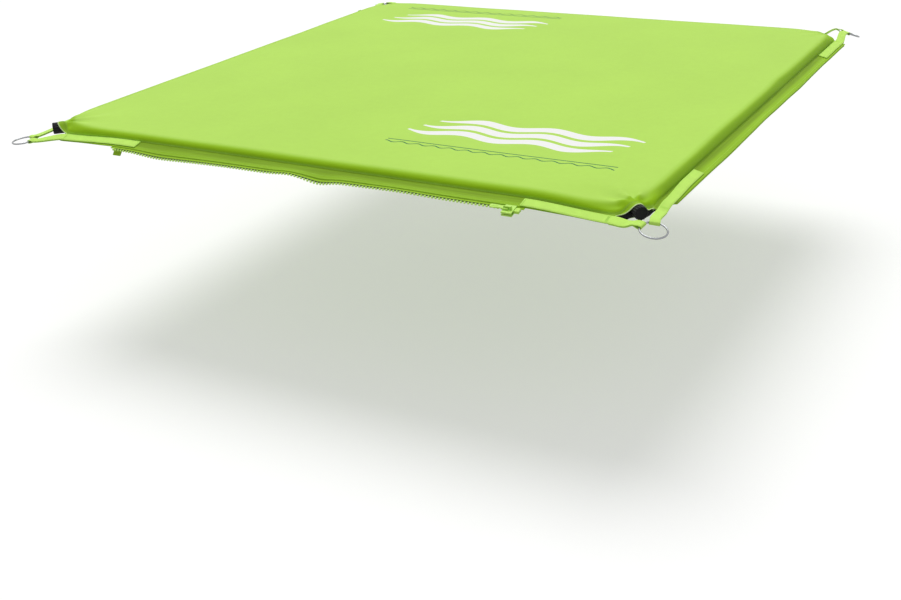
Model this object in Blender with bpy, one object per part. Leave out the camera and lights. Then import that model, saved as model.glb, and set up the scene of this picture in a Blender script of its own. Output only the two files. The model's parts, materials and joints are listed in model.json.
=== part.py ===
"""Square self-inflating float mat: foam pad in a welded cover, zip halves on its
four edges, webbing straps that hold a ring at each corner, and two screw valves."""
from math import cos, hypot, pi, radians, sin, sqrt, tan

import bmesh
import bpy
from mathutils import Matrix, Vector

# Pad, in metres, with the front edge towards -Y and the underside on z = 0
pad_width = 1.206
pad_depth = 1.212
pad_thickness = 0.030
seam_height = 0.017
edge_roll = 0.007
crown_reach = 0.060
corner_cut = 0.045
corner_lip = 0.003
fabric = 0.0008
clearance = 0.0003
flange_width = 0.025
flange_droop = radians(14)

# The rolled edge from the seam up, as shares of edge_roll and of the height over the seam
roll_shares = ((0.0, 0.0), (0.1, 0.36), (0.35, 0.68), (0.9, 0.90), (2.0, 0.965))
crown_share = 0.985
side_runs = 11
cut_shares = (0.08, 0.36, 0.64, 0.92)

# Zip halves under the flange edge
zip_side_inset = 0.060
zip_tail = 0.012
tape_under = 0.010
tape_thickness = 0.0008
tape_show = 0.0045
right_tape_show = 0.0010
tooth_pitch = 0.0065
tooth_length = 0.0033
tooth_out = 0.0050
tooth_bead = 0.0014
tooth_thickness = 0.0030
stop_length = 0.0030
retainer_length = 0.0080
retainer_width = 0.0090
retainer_thickness = 0.0046
pin_length = 0.0160
pin_width = 0.0030

# Zip slider and its pull
slider_length = 0.0180
slider_play = 0.0004
slider_plate = 0.0015
slider_inner_reach = 0.0035
slider_lip = 0.0010
slider_neck = 0.0028
bridge_length = 0.0110
bridge_width = 0.0030
bridge_bar = 0.0020
bridge_room = 0.0034
pull_length = 0.0320
pull_width = 0.0090
pull_thickness = 0.0018
pull_bar = 0.0022
pull_window = 0.0078
pull_window_width = 0.0042

# Webbing straps, two at each corner
strap_width = 0.020
loop_width = 0.016
strap_thickness = 0.0014
strap_run = 0.195
strap_past_zip = 0.002
strap_inset = 0.0015
strap_exit_past = 0.001
strap_return_gap = 0.006
loop_gap = 0.0004
loop_neck = 0.0090
bend_share = 0.7

# Rings, and where their strap loops sit from the corner of the two flange edges
ring_inside = 0.038
ring_wire = 0.003
end_loop_back = 0.013
end_loop_out = 0.0145
side_loop_back = 0.003
side_loop_out = 0.0015
ring_segments = 32
wire_segments = 8

# How each corner's straps hang: shift along x and y, loop height and ring tilt
front_right_loop_height = 0.0165
front_left_loop_height = 0.0052
front_left_shift_x = -0.004
front_left_shift_y = 0.004
back_right_loop_height = 0.0180
back_left_loop_height = 0.0140
back_right_shift_x = -0.018
back_right_shift_y = 0.011
corner_hang = {
    "front_left": (front_left_shift_x, front_left_shift_y, front_left_loop_height, radians(5)),
    "front_right": (0.0, 0.0, front_right_loop_height, radians(14)),
    "back_right": (back_right_shift_x, back_right_shift_y, back_right_loop_height, radians(20)),
    "back_left": (0.0, 0.0, back_left_loop_height, radians(12)),
}

# Screw valves at the two front corners
stem_radius = 0.0070
valve_bore = 0.0045
stem_inside = 0.014
stem_outside = 0.020
fin_half_width = 0.026
fin_half_height = 0.0040
fin_tip_half_height = 0.0007
fin_inside = 0.012
fin_outside = 0.004
fin_shares = ((1.0, 0.0), (0.55, 0.55), (0.2, 1.0))
seal_thickness = 0.0025
cap_radius = 0.011
cap_start = 0.0055
cap_end_wall = 0.0035
cap_flutes = 16
flute_depth = 0.0007
cap_edge = 0.0012
cutter_overrun = 0.002

half_width = pad_width / 2
half_depth = pad_depth / 2
corner_share = tan(radians(22.5))
flange_reach = flange_width * cos(flange_droop)
flange_face = (clearance / 2 + fabric) * cos(flange_droop)
tape_centre = -(flange_face + clearance + tape_thickness / 2)
ring_radius = (ring_inside + ring_wire) / 2
up = Vector((0, 0, 1))

# Each side: outward direction, direction along it, half size outward, half size along
sides = {
    "front": (Vector((0, -1, 0)), Vector((1, 0, 0)), half_depth, half_width),
    "right": (Vector((1, 0, 0)), Vector((0, 1, 0)), half_width, half_depth),
    "back": (Vector((0, 1, 0)), Vector((-1, 0, 0)), half_depth, half_width),
    "left": (Vector((-1, 0, 0)), Vector((0, -1, 0)), half_width, half_depth),
}
side_names = list(sides)


def material(name, colour, roughness, metallic=0.0):
    made = bpy.data.materials.new(name)
    made.use_nodes = True
    shader = made.node_tree.nodes["Principled BSDF"]
    shader.inputs["Base Color"].default_value = (*colour, 1.0)
    shader.inputs["Roughness"].default_value = roughness
    shader.inputs["Metallic"].default_value = metallic
    return made


def mesh_object(name, points, faces, finish):
    mesh = bpy.data.meshes.new(name)
    mesh.from_pydata([tuple(point) for point in points], [], faces)
    build = bmesh.new()
    build.from_mesh(mesh)
    bmesh.ops.remove_doubles(build, verts=build.verts, dist=clearance / 100)
    bmesh.ops.recalc_face_normals(build, faces=build.faces)
    build.to_mesh(mesh)
    build.free()
    mesh.materials.append(finish)
    made = bpy.data.objects.new(name, mesh)
    bpy.context.scene.collection.objects.link(made)
    return made


def smooth(made):
    made.data.shade_smooth()
    made.data.set_sharp_from_angle(angle=radians(35))


def cut(made, cutter, operation="DIFFERENCE"):
    change = made.modifiers.new("cut", "BOOLEAN")
    change.operation = operation
    change.solver = "EXACT"
    change.object = cutter
    cutter.hide_render = True
    cutter.display_type = "WIRE"


def pivot(name, place, frame=None):
    made = bpy.data.objects.new(name, None)
    bpy.context.scene.collection.objects.link(made)
    made.matrix_world = Matrix.Translation(place) @ (frame or Matrix.Identity(4))
    return made


def axes_matrix(x_axis, y_axis, z_axis):
    return Matrix((x_axis, y_axis, z_axis)).transposed().to_4x4()


def attach(made, empty):
    made.parent = empty
    made.matrix_parent_inverse = Matrix.Identity(4)


def box_parts(low, high):
    """The corners and faces of a box between two corner points."""
    points = [(x, y, z) for z in (low[2], high[2]) for y in (low[1], high[1]) for x in (low[0], high[0])]
    faces = [(0, 2, 3, 1), (4, 5, 7, 6), (0, 1, 5, 4), (2, 6, 7, 3), (0, 4, 6, 2), (1, 3, 7, 5)]
    return points, faces


def extruded(name, outline, depth, finish):
    """An outline in x and z, extruded evenly about y = 0."""
    count = len(outline)
    points = [(x, y, z) for y in (-depth / 2, depth / 2) for x, z in outline]
    faces = [tuple(range(count)), tuple(range(2 * count - 1, count - 1, -1))]
    faces += [(i, (i + 1) % count, count + (i + 1) % count, count + i) for i in range(count)]
    return mesh_object(name, points, faces, finish)


def capped_turned(name, profile, segments, finish, flutes=0):
    """A profile of (radius, x) that starts and ends on the axis, turned about x."""
    points = []
    for step in range(segments):
        angle = 2 * pi * step / segments
        dip = flute_depth if flutes and step % 2 else 0.0
        for radius, along, fluted in profile[1:-1]:
            reach = radius - (dip if fluted else 0.0)
            points.append((along, reach * cos(angle), reach * sin(angle)))
    count = len(profile) - 2
    first = len(points)
    points += [(profile[0][1], 0, 0), (profile[-1][1], 0, 0)]
    faces = []
    for step in range(segments):
        after = (step + 1) % segments
        for i in range(count - 1):
            faces.append((step * count + i, step * count + i + 1, after * count + i + 1, after * count + i))
        faces.append((first, step * count, after * count))
        faces.append((first + 1, after * count + count - 1, step * count + count - 1))
    return mesh_object(name, points, faces, finish)


def pad_ring(inset, height, reach=0.0):
    """One closed line round the pad: inset from the seam, or out on the flange by reach."""
    points = []
    lip = corner_lip * reach / flange_reach
    drop = tan(flange_droop)
    for index, name in enumerate(side_names):
        normal, tangent, half_out, half_along = sides[name]
        next_normal, next_tangent, next_out, next_along = sides[side_names[(index + 1) % 4]]
        run = half_along - corner_cut - inset * corner_share
        next_run = next_along - corner_cut - inset * corner_share
        level = up * (seam_height + height)
        for step in range(side_runs + 1):
            along = run * (2 * step / side_runs - 1)
            points.append(normal * (half_out - inset + reach) + tangent * along + level - up * reach * drop)
        last = normal * (half_out - inset) + tangent * run + level
        first = next_normal * (next_out - inset) - next_tangent * next_run + level
        outward = (normal + next_normal).normalized()
        for share in cut_shares:
            points.append(last.lerp(first, share) + outward * lip - up * lip * drop)
    return points


def roll_profile(rise, flat):
    """(inset, height) from the seam to the middle, for a cover face that rises by rise."""
    profile = [(edge_roll * inset, rise * height) for inset, height in roll_shares]
    if flat:
        profile[-1] = (profile[-1][0], rise)
        return profile
    return profile + [(crown_reach, rise * crown_share)]


def inner_profile(profile, depth):
    """The same profile moved into the pad by depth."""
    moved = []
    for i, (inset, height) in enumerate(profile):
        before = profile[max(i - 1, 0)]
        after = profile[min(i + 1, len(profile) - 1)]
        run, rise = after[0] - before[0], after[1] - before[1]
        if i == len(profile) - 1:
            run, rise = 1, 0
        size = sqrt(run * run + rise * rise)
        sign = 1 if profile[-1][1] > 0 else -1
        moved.append((inset + depth * abs(rise) / size, height - sign * depth * abs(run) / size))
    return moved


def bands(rings, middle_top=None, middle_bottom=None):
    """Triangles between each ring and the next, with a fan at either end if asked."""
    count = len(rings[0])
    points = [point for ring in rings for point in ring]
    faces = []
    for level in range(len(rings) - 1):
        a, b = level * count, (level + 1) * count
        for i in range(count):
            j = (i + 1) % count
            faces += [(a + i, a + j, b + j), (a + i, b + j, b + i)]
    for middle, start in ((middle_top, len(rings) - 1), (middle_bottom, 0)):
        if middle is not None:
            points.append(middle)
            hub = len(points) - 1
            faces += [(start * count + i, start * count + (i + 1) % count, hub) for i in range(count)]
    return points, faces


def cover(name, rise, flat, finish):
    """One welded face of the cover: a fabric shell with its half of the flange."""
    sign = 1 if rise > 0 else -1
    face = clearance / 2 * sign
    skin = face + fabric * sign
    outer = roll_profile(rise, flat)
    inner = inner_profile(outer, fabric)
    outer[0] = (0.0, skin)
    inner[0] = (2 * fabric, face)
    outer_rings = [pad_ring(0.0, skin, flange_reach)] + [pad_ring(*place) for place in outer]
    inner_rings = [pad_ring(0.0, face, flange_reach), pad_ring(0.0, face)]
    inner_rings += [pad_ring(*place) for place in inner]
    points, faces = bands(outer_rings, middle_top=up * (seam_height + rise))
    more, more_faces = bands(inner_rings, middle_top=up * (seam_height + rise - sign * fabric))
    shift = len(points)
    faces += [tuple(i + shift for i in face_points) for face_points in more_faces]
    points += more
    count = len(outer_rings[0])
    for i in range(count):
        j = (i + 1) % count
        faces += [(i, j, shift + j), (i, shift + j, shift + i)]
    made = mesh_object(name, points, faces, finish)
    smooth(made)
    return made


def foam(finish):
    """The foam core, which fills the cover up to a small gap."""
    depth = fabric + clearance
    top = inner_profile(roll_profile(pad_thickness - seam_height, False), depth)
    bottom = inner_profile(roll_profile(-seam_height, True), depth)
    girth = top[1][0]
    rings = [pad_ring(*place) for place in reversed(bottom[1:])]
    rings += [pad_ring(girth, 0.0)] + [pad_ring(*place) for place in top[1:]]
    points, faces = bands(rings, up * (pad_thickness - depth), up * depth)
    return mesh_object("foam_core", points, faces, finish)


def flange_frame(side):
    """Unit directions along the side, out along the drooping flange, and up from it."""
    normal, tangent = sides[side][:2]
    out = normal * cos(flange_droop) - up * sin(flange_droop)
    lift = normal * sin(flange_droop) + up * cos(flange_droop)
    return tangent, out, lift


def on_flange(side, along, out, lift):
    """A point on the flange of a side, from the middle of its seam."""
    tangent, out_axis, lift_axis = flange_frame(side)
    return (sides[side][0] * sides[side][2] + up * seam_height
            + tangent * along + out_axis * out + lift_axis * lift)


def flange_box(name, side, low, high, finish):
    """A box on one flange, from (along, out, lift) to (along, out, lift)."""
    corners, faces = box_parts(low, high)
    return mesh_object(name, [on_flange(side, *corner) for corner in corners], faces, finish)


def zip_half(side):
    """Half the length of a side's row of teeth: shorter at the front and back."""
    inset = strap_run - strap_past_zip if side in ("front", "back") else zip_side_inset
    return sides[side][3] - inset


def tape_edge(side):
    return flange_width + (right_tape_show if side == "right" else tape_show)


def zip_parts(side, tape_finish, tooth_finish):
    """The tape and the moulded row of teeth along its edge; returns where the row ends."""
    half = zip_half(side)
    edge = tape_edge(side)
    ends = half + zip_tail
    flange_box("zip_" + side + "_tape", side, (-ends, flange_width - tape_under, tape_centre - tape_thickness / 2),
               (ends, edge, tape_centre + tape_thickness / 2), tape_finish)
    back = edge + clearance
    notch = back + tooth_bead
    tip = back + tooth_out
    count = int(2 * half / tooth_pitch)
    end = count * tooth_pitch / 2
    outline = [(-end, back), (-end, notch)]
    for i in range(count):
        middle = (i + 0.5) * tooth_pitch - end
        outline += [(middle - tooth_length / 2, tip), (middle + tooth_length / 2, tip),
                    (middle + tooth_pitch / 2, notch)]
    outline.append((end, back))
    size = len(outline)
    lifts = (tape_centre - tooth_thickness / 2, tape_centre + tooth_thickness / 2)
    points = [on_flange(side, along, out, lift) for lift in lifts for along, out in outline]
    faces = [tuple(range(size)), tuple(range(2 * size - 1, size - 1, -1))]
    faces += [(i, (i + 1) % size, size + (i + 1) % size, size + i) for i in range(size)]
    mesh_object("zip_" + side + "_teeth", points, faces, tooth_finish)
    return end


def end_block(name, side, sign, chain_end, size, finish):
    """A block of (length, width, thickness) on the tape edge, just past the last tooth."""
    length, width, thickness = size
    near = chain_end + clearance
    along = sorted((sign * near, sign * (near + length)))
    start = tape_edge(side) + clearance
    low = (along[0], start, tape_centre - thickness / 2)
    high = (along[1], start + width, tape_centre + thickness / 2)
    return flange_box(name, side, low, high, finish)


def slider(side, sign, chain_end, body_finish, pull_finish):
    """The slider and its pull, parked beside the retainer at one end of the chain."""
    tangent, out_axis, lift_axis = flange_frame(side)
    travel_axis = tangent * -sign
    cross_axis = lift_axis.cross(travel_axis)
    place = on_flange(side, sign * (chain_end - slider_length / 2), tape_edge(side), tape_centre)
    frame = axes_matrix(travel_axis, cross_axis, lift_axis)
    seat = pivot("slider_" + side + "_seat", place, frame)
    outward = 1 if cross_axis.dot(out_axis) > 0 else -1
    room = tooth_thickness / 2 + slider_play
    top = room + slider_plate
    neck_start = clearance + tooth_out + slider_play
    inner = -slider_inner_reach
    outer = 2 * neck_start + slider_neck + slider_inner_reach
    slit = tape_thickness / 2 + slider_play
    neck_end = neck_start + slider_neck
    lip_inner = inner + slider_lip
    lip_outer = outer - slider_lip
    outline = [
        (inner, top), (outer, top), (outer, slit), (lip_outer, slit), (lip_outer, room), (neck_end, room),
        (neck_end, -room), (lip_outer, -room), (lip_outer, -slit), (outer, -slit), (outer, -top),
        (inner, -top), (inner, -slit), (lip_inner, -slit), (lip_inner, -room), (neck_start, -room),
        (neck_start, room), (lip_inner, room), (lip_inner, slit), (inner, slit),
    ]
    body = extruded("slider_" + side, outline, slider_length, body_finish)
    body.data.transform(Matrix.Rotation(pi / 2 * outward, 4, "Z"))
    middle = outward * (neck_start + slider_neck / 2)
    low = (-bridge_length / 2, middle - bridge_width / 2, top - slider_plate / 2)
    high = (bridge_length / 2, middle + bridge_width / 2, top + bridge_room + bridge_bar)
    bridge = mesh_object("bridge_shape_" + side, *box_parts(low, high), body_finish)
    low = (-bridge_length / 2 + bridge_bar, middle - bridge_width, top)
    high = (bridge_length / 2 - bridge_bar, middle + bridge_width, top + bridge_room)
    window = mesh_object("bridge_window_" + side, *box_parts(low, high), body_finish)
    for made in (body, bridge, window):
        attach(made, seat)
    cut(bridge, window)
    cut(body, bridge, "UNION")
    bar_lift = clearance + hypot(pull_bar, pull_thickness) / 2
    bar_place = seat.matrix_world @ Vector((0, middle, top + bar_lift))
    hinge = pivot("pull_" + side + "_hinge", bar_place, frame)
    low = (-pull_bar / 2, -pull_width / 2, -pull_thickness / 2)
    high = (pull_length, pull_width / 2, pull_thickness / 2)
    pull = mesh_object("slider_" + side + "_pull", *box_parts(low, high), pull_finish)
    low = (pull_bar / 2, -pull_window_width / 2, -pull_thickness)
    high = (pull_bar / 2 + pull_window, pull_window_width / 2, pull_thickness)
    opening = mesh_object("pull_window_" + side, *box_parts(low, high), pull_finish)
    for made in (pull, opening):
        attach(made, hinge)
    cut(pull, opening)


class Corner:
    """The strap loops and the ring of one corner."""

    def __init__(self, name):
        shift_x, shift_y, height, tilt = corner_hang[name]
        x_sign = 1 if "right" in name else -1
        y_sign = 1 if "back" in name else -1
        edge_x = half_width + flange_reach + shift_x
        edge_y = half_depth + flange_reach + shift_y
        self.end_loop = Vector((x_sign * (edge_x - end_loop_back), y_sign * (edge_y + end_loop_out), height))
        self.side_loop = Vector((x_sign * (edge_x + side_loop_out), y_sign * (edge_y - side_loop_back), height))
        self.middle = (self.end_loop + self.side_loop) / 2
        self.chord = (self.side_loop - self.end_loop).normalized()
        flat = Vector((-self.chord.y, self.chord.x, 0))
        if flat.x * x_sign < 0:
            flat.negate()
        self.out = flat * cos(tilt) - up * sin(tilt)
        half_chord = (self.side_loop - self.end_loop).length / 2
        self.centre = self.middle + self.out * sqrt(ring_radius ** 2 - half_chord ** 2)
        self.normal = self.chord.cross(self.out)
        if self.normal.z < 0:
            self.normal.negate()


def ring(name, corner, finish):
    points = []
    side = corner.normal.cross(corner.out)
    for i in range(ring_segments):
        angle = 2 * pi * i / ring_segments
        spoke = corner.out * cos(angle) + side * sin(angle)
        for j in range(wire_segments):
            turn = 2 * pi * j / wire_segments
            offset = spoke * cos(turn) + corner.normal * sin(turn)
            points.append(corner.centre - corner.middle + spoke * ring_radius + offset * (ring_wire / 2))
    faces = []
    for i in range(ring_segments):
        for j in range(wire_segments):
            a, b = i * wire_segments, ((i + 1) % ring_segments) * wire_segments
            k = (j + 1) % wire_segments
            faces.append((a + j, a + k, b + k, b + j))
    made = mesh_object("ring_" + name, points, faces, finish)
    smooth(made)
    attach(made, pivot("ring_" + name + "_hinge", corner.middle))


def ribbon(name, stations, finish):
    """A strip of webbing through stations of (centre, width direction, thickness direction, width)."""
    points = []
    for centre, across, thick, width in stations:
        for w, t in ((-1, -1), (1, -1), (1, 1), (-1, 1)):
            points.append(centre + across * (w * width / 2) + thick * (t * strap_thickness / 2))
    faces = [(3, 2, 1, 0)]
    for i in range(len(stations) - 1):
        a, b = 4 * i, 4 * (i + 1)
        faces += [(a + j, a + (j + 1) % 4, b + (j + 1) % 4, b + j) for j in range(4)]
    last = 4 * (len(stations) - 1)
    faces.append((last, last + 1, last + 2, last + 3))
    return mesh_object(name, points, faces, finish)


def curve_point(start, start_way, end, end_way, share):
    """A point and its direction on the smooth curve from start to end."""
    s = share
    place = (start * (2 * s ** 3 - 3 * s ** 2 + 1) + start_way * (s ** 3 - 2 * s ** 2 + s)
             + end * (3 * s ** 2 - 2 * s ** 3) + end_way * (s ** 3 - s ** 2))
    way = (start * (6 * s ** 2 - 6 * s) + start_way * (3 * s ** 2 - 4 * s + 1)
           + end * (6 * s - 6 * s ** 2) + end_way * (3 * s ** 2 - 2 * s))
    return place, way.normalized()


def strap(name, side, sign, corner, loop, finish):
    """Webbing sewn on the flange, out to the ring, round its wire and back under itself."""
    tangent, out_axis, lift_axis = flange_frame(side)
    forward = tangent * sign
    out = strap_inset + strap_width / 2
    lift = flange_face + clearance + strap_thickness / 2
    exit_along = sides[side][3] - corner_cut + strap_exit_past
    layer = (strap_thickness + clearance) / 2
    begin = on_flange(side, sign * (sides[side][3] - strap_run), out, lift)
    leave = on_flange(side, sign * exit_along, out, lift)
    inward = (corner.centre - loop).normalized()
    across = corner.normal.cross(inward)
    if across.dot(out_axis) < 0:
        across.negate()
    neck = loop - inward * loop_neck
    start = leave - lift_axis * layer
    span = bend_share * (neck - start).length
    frames = []
    for step in range(5):
        share = step / 4
        place, way = curve_point(start, forward * span, neck, inward * span, share)
        side_way = out_axis.lerp(across, share)
        side_way = (side_way - way * side_way.dot(way)).normalized()
        thick = way.cross(side_way)
        if thick.z < 0:
            thick.negate()
        width = strap_width + (loop_width - strap_width) * share
        frames.append((place, side_way, thick, width))
    stations = [(begin, out_axis, lift_axis, strap_width)]
    stations += [(place + thick * layer, side_way, thick, width) for place, side_way, thick, width in frames]
    wire_room = ring_wire / 2 + loop_gap + strap_thickness / 2
    sag = ring_radius - sqrt(ring_radius ** 2 - (loop_width / 2) ** 2)
    bend = loop + inward * sag
    turn_start = loop - inward * (ring_wire / 2)
    stations.append((turn_start + corner.normal * wire_room, across, corner.normal, loop_width))
    for step in range(7):
        angle = pi / 2 - pi * step / 6
        ray = inward * cos(angle) + corner.normal * sin(angle)
        stations.append((bend + ray * wire_room, across, ray, loop_width))
    stations.append((turn_start - corner.normal * wire_room, across, -corner.normal, loop_width))
    for place, side_way, thick, width in reversed(frames[1:]):
        stations.append((place - thick * layer, side_way, -thick, width))
    place, side_way, thick, width = frames[0]
    way = (frames[1][0] - place).normalized()
    stations.append((place + way * strap_return_gap - thick * layer, side_way, -thick, width))
    return ribbon(name, stations, finish)


def valve_place(name):
    """The middle of a corner's cut edge at seam height, and its outward direction."""
    x_sign = 1 if "right" in name else -1
    middle = Vector((x_sign * (half_width - corner_cut / 2), -(half_depth - corner_cut / 2), seam_height))
    out = Vector((x_sign, -1, 0)).normalized()
    return middle, out


def fin_outline(grow):
    """The boat-shaped section of the valve's welding fin, in y and z."""
    upper = []
    for width_share, height_share in fin_shares:
        height = fin_tip_half_height + (fin_half_height - fin_tip_half_height) * height_share
        upper.append((fin_half_width * width_share, height))
    right = [(y + grow, z + grow) for y, z in upper]
    left = [(-y, z) for y, z in reversed(right)]
    top = right + left
    return top + [(y, -z) for y, z in reversed(top)]


def fin_shape(name, grow, low, high, finish):
    outline = fin_outline(grow)
    count = len(outline)
    points = [(x, y, z) for x in (low, high) for y, z in outline]
    faces = [tuple(range(count)), tuple(range(2 * count - 1, count - 1, -1))]
    faces += [(i, (i + 1) % count, count + (i + 1) % count, count + i) for i in range(count)]
    return mesh_object(name, points, faces, finish)


def rod(name, radius, low, high, finish):
    profile = [(0.0, low, False), (radius, low, False), (radius, high, False), (0.0, high, False)]
    return capped_turned(name, profile, 32, finish)


def valve(name, covers, core, body_finish, cap_finish, seal_finish):
    middle, out = valve_place(name)
    frame = axes_matrix(out, up.cross(out), up)
    seat = pivot("valve_" + name + "_seat", middle, frame)
    body = rod("valve_" + name + "_body", stem_radius, -stem_inside, stem_outside, body_finish)
    fin = fin_shape("fin_shape_" + name, 0.0, -fin_inside, fin_outside, body_finish)
    bore = rod("bore_shape_" + name, valve_bore, -stem_inside - cutter_overrun,
               stem_outside + cutter_overrun, body_finish)
    fin_room = fin_shape("fin_room_" + name, clearance, -fin_inside - cutter_overrun,
                         fin_outside + cutter_overrun, body_finish)
    stem_room = rod("stem_room_" + name, stem_radius + clearance, -stem_inside - cutter_overrun,
                    stem_outside, body_finish)
    for made in (body, fin, bore, fin_room, stem_room):
        attach(made, seat)
    cut(body, fin, "UNION")
    cut(body, bore)
    for made in (*covers, core):
        cut(made, fin_room)
        cut(made, stem_room)
    seal_start = stem_outside + clearance
    seal_end = seal_start + seal_thickness
    seal = rod("valve_" + name + "_seal", stem_radius - clearance, seal_start, seal_end, seal_finish)
    inner = stem_radius + clearance
    floor = seal_end + clearance
    end = floor + cap_end_wall
    profile = [
        (0.0, floor, False), (inner, floor, False), (inner, cap_start, False),
        (cap_radius - cap_edge, cap_start, False), (cap_radius, cap_start + cap_edge, True),
        (cap_radius, end - cap_edge, True), (cap_radius - cap_edge, end, False), (0.0, end, False),
    ]
    cap = capped_turned("valve_" + name + "_cap", profile, 2 * cap_flutes, cap_finish, flutes=cap_flutes)
    for made in (seal, cap):
        attach(made, seat)


def main():
    for old in list(bpy.data.objects):
        bpy.data.objects.remove(old)

    lime = material("cover_fabric", (0.47, 0.76, 0.12), 0.55)
    lime_under = material("underside_fabric", (0.42, 0.70, 0.10), 0.65)
    foam_finish = material("foam", (0.85, 0.84, 0.74), 0.9)
    webbing = material("webbing", (0.61, 0.97, 0.21), 0.75)
    tape_finish = material("zip_tape", (0.33, 0.58, 0.05), 0.8)
    tooth_finish = material("zip_teeth", (0.52, 0.83, 0.16), 0.4)
    steel = material("ring_steel", (0.55, 0.56, 0.58), 0.25, 1.0)
    black = material("valve_plastic", (0.015, 0.015, 0.018), 0.4)
    rubber = material("seal_rubber", (0.03, 0.03, 0.03), 0.8)

    core = foam(foam_finish)
    top = cover("top_cover", pad_thickness - seam_height, False, lime)
    bottom = cover("bottom_cover", -seam_height, True, lime_under)

    chain_ends = {side: zip_parts(side, tape_finish, tooth_finish) for side in side_names}

    # Front and left zips carry the retainer and slider, back and right zips the matching pin
    opening_sign = {"front": 1, "back": -1, "left": -1, "right": 1}
    stop_size = (stop_length, tooth_out, tooth_thickness)
    retainer_size = (retainer_length, retainer_width, retainer_thickness)
    pin_size = (pin_length, pin_width, tooth_thickness)
    for side in side_names:
        sign = opening_sign[side]
        reach = chain_ends[side]
        end_block("zip_" + side + "_stop", side, -sign, reach, stop_size, tooth_finish)
        if side in ("front", "left"):
            end_block("zip_" + side + "_retainer", side, sign, reach, retainer_size, tooth_finish)
            slider(side, sign, reach, tooth_finish, tooth_finish)
        else:
            end_block("zip_" + side + "_pin", side, sign, reach, pin_size, tooth_finish)

    for name in corner_hang:
        corner = Corner(name)
        ring(name, corner, steel)
        depth_side, width_side = name.split("_")
        end_sign = 1 if (name in ("front_right", "back_left")) else -1
        strap("strap_" + depth_side + "_" + width_side + "_end", depth_side, end_sign, corner,
              corner.end_loop, webbing)
        strap("strap_" + depth_side + "_" + width_side + "_side", width_side, -end_sign, corner,
              corner.side_loop, webbing)

    for name in ("front_left", "front_right"):
        valve(name, (top, bottom), core, black, black, rubber)


main()
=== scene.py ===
import json
from math import cos, pi, radians, sin, sqrt, tan

import bmesh
import bpy
import numpy as np
from mathutils import Matrix, Vector, noise


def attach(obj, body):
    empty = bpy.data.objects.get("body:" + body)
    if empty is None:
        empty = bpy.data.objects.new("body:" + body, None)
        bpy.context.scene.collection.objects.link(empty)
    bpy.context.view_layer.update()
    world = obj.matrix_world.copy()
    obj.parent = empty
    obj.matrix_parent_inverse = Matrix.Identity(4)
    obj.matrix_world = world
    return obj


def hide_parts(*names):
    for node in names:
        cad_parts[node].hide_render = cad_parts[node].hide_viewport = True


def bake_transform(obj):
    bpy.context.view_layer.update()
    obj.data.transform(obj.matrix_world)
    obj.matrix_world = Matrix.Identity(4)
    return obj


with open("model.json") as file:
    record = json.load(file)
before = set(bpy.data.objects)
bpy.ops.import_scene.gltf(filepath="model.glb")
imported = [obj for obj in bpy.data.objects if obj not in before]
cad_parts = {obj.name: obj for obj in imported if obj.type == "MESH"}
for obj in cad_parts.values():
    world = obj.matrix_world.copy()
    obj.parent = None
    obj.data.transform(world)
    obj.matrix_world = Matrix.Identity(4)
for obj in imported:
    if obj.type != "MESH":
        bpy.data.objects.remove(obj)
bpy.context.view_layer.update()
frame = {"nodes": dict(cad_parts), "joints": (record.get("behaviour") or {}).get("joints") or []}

# Pad, in metres, with the front edge towards -Y and the underside on z = 0
HALF_WIDTH = 0.603
HALF_DEPTH = 0.606
THICKNESS = 0.030
SEAM = 0.017
CORNER_CUT = 0.045
CORNER_LIP = 0.003
CLOTH = 0.0007
CLOTH_GAP = 0.0001
CLEARANCE = 0.0003
FLANGE = 0.025
FLANGE_SAG = 0.0005
END_FLANGE_CUTBACK = 0.0031
RIGHT_FLANGE_CUTBACK = 0.0008
RIGHT_FRONT_CUTBACK = 0.0085
DROOP = radians(14)
SKIN = CLOTH + CLOTH_GAP
FLANGE_FACE = SKIN * cos(DROOP)
CORNER_SHARE = tan(radians(22.5))

# Zip halves
ZIP_END_INSET = 0.193
ZIP_SIDE_INSET = 0.060
ZIP_TAIL = 0.012
TAPE_UNDER = 0.010
TAPE = 0.0008
TAPE_SHOW = 0.0045
RIGHT_TAPE_SHOW = 0.0010
TOOTH_PITCH = 0.0065
TOOTH_THICKNESS = 0.0030
TAPE_CENTRE = -0.0015
TUCK_START = 0.0032
TUCK_RADIUS = 0.0016
STOP_LENGTH = 0.0030
PIN_LENGTH = 0.0160
TOOTH_OUT = 0.0050

# Straps and rings
STRAP_WIDTH = 0.020
LOOP_WIDTH = 0.016
STRAP = 0.0014
STRAP_RUN = 0.195
STRAP_RUNS = {("front", -1): 0.233, ("front", 1): 0.190, ("right", -1): 0.217}
STRAP_SHIFTS = {("front", 1): 0.0026, ("front", -1): -0.0004}
RIGHT_STRAP_SHARE = 0.90
# The right side's front strap slips outward: over which stretch, and how far at each of its edges
SLIP_RUN = (0.44, 0.53)
SLIP_INNER = 0.0045
SLIP_OUTER = 0.0025
STRAP_INSET = 0.0015
STRAP_EXIT_PAST = 0.001
STRAP_RETURN_GAP = 0.006
LOOP_GAP = 0.0004
LOOP_NECK = 0.0090
BEND_SHARE = 0.7
LOOSE_BENDS = {("front", 1): 0.25, ("right", -1): 0.25}
LOOSE_DIPS = {("front", 1): 0.0036}
RING_WIRE = 0.003
RING_RADIUS = 0.0205
END_LOOP_BACK = 0.013
END_LOOP_OUT = 0.0145
SIDE_LOOP_BACK = 0.003
SIDE_LOOP_OUT = 0.0015
CORNER_HANG = {
    "front_left": (-0.004, 0.004, 0.0052, radians(5)),
    "front_right": (0.0, 0.0, 0.0165, radians(14)),
    "back_right": (-0.018, 0.011, 0.0180, radians(20)),
    "back_left": (0.0, 0.0, 0.0140, radians(12)),
}

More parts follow.
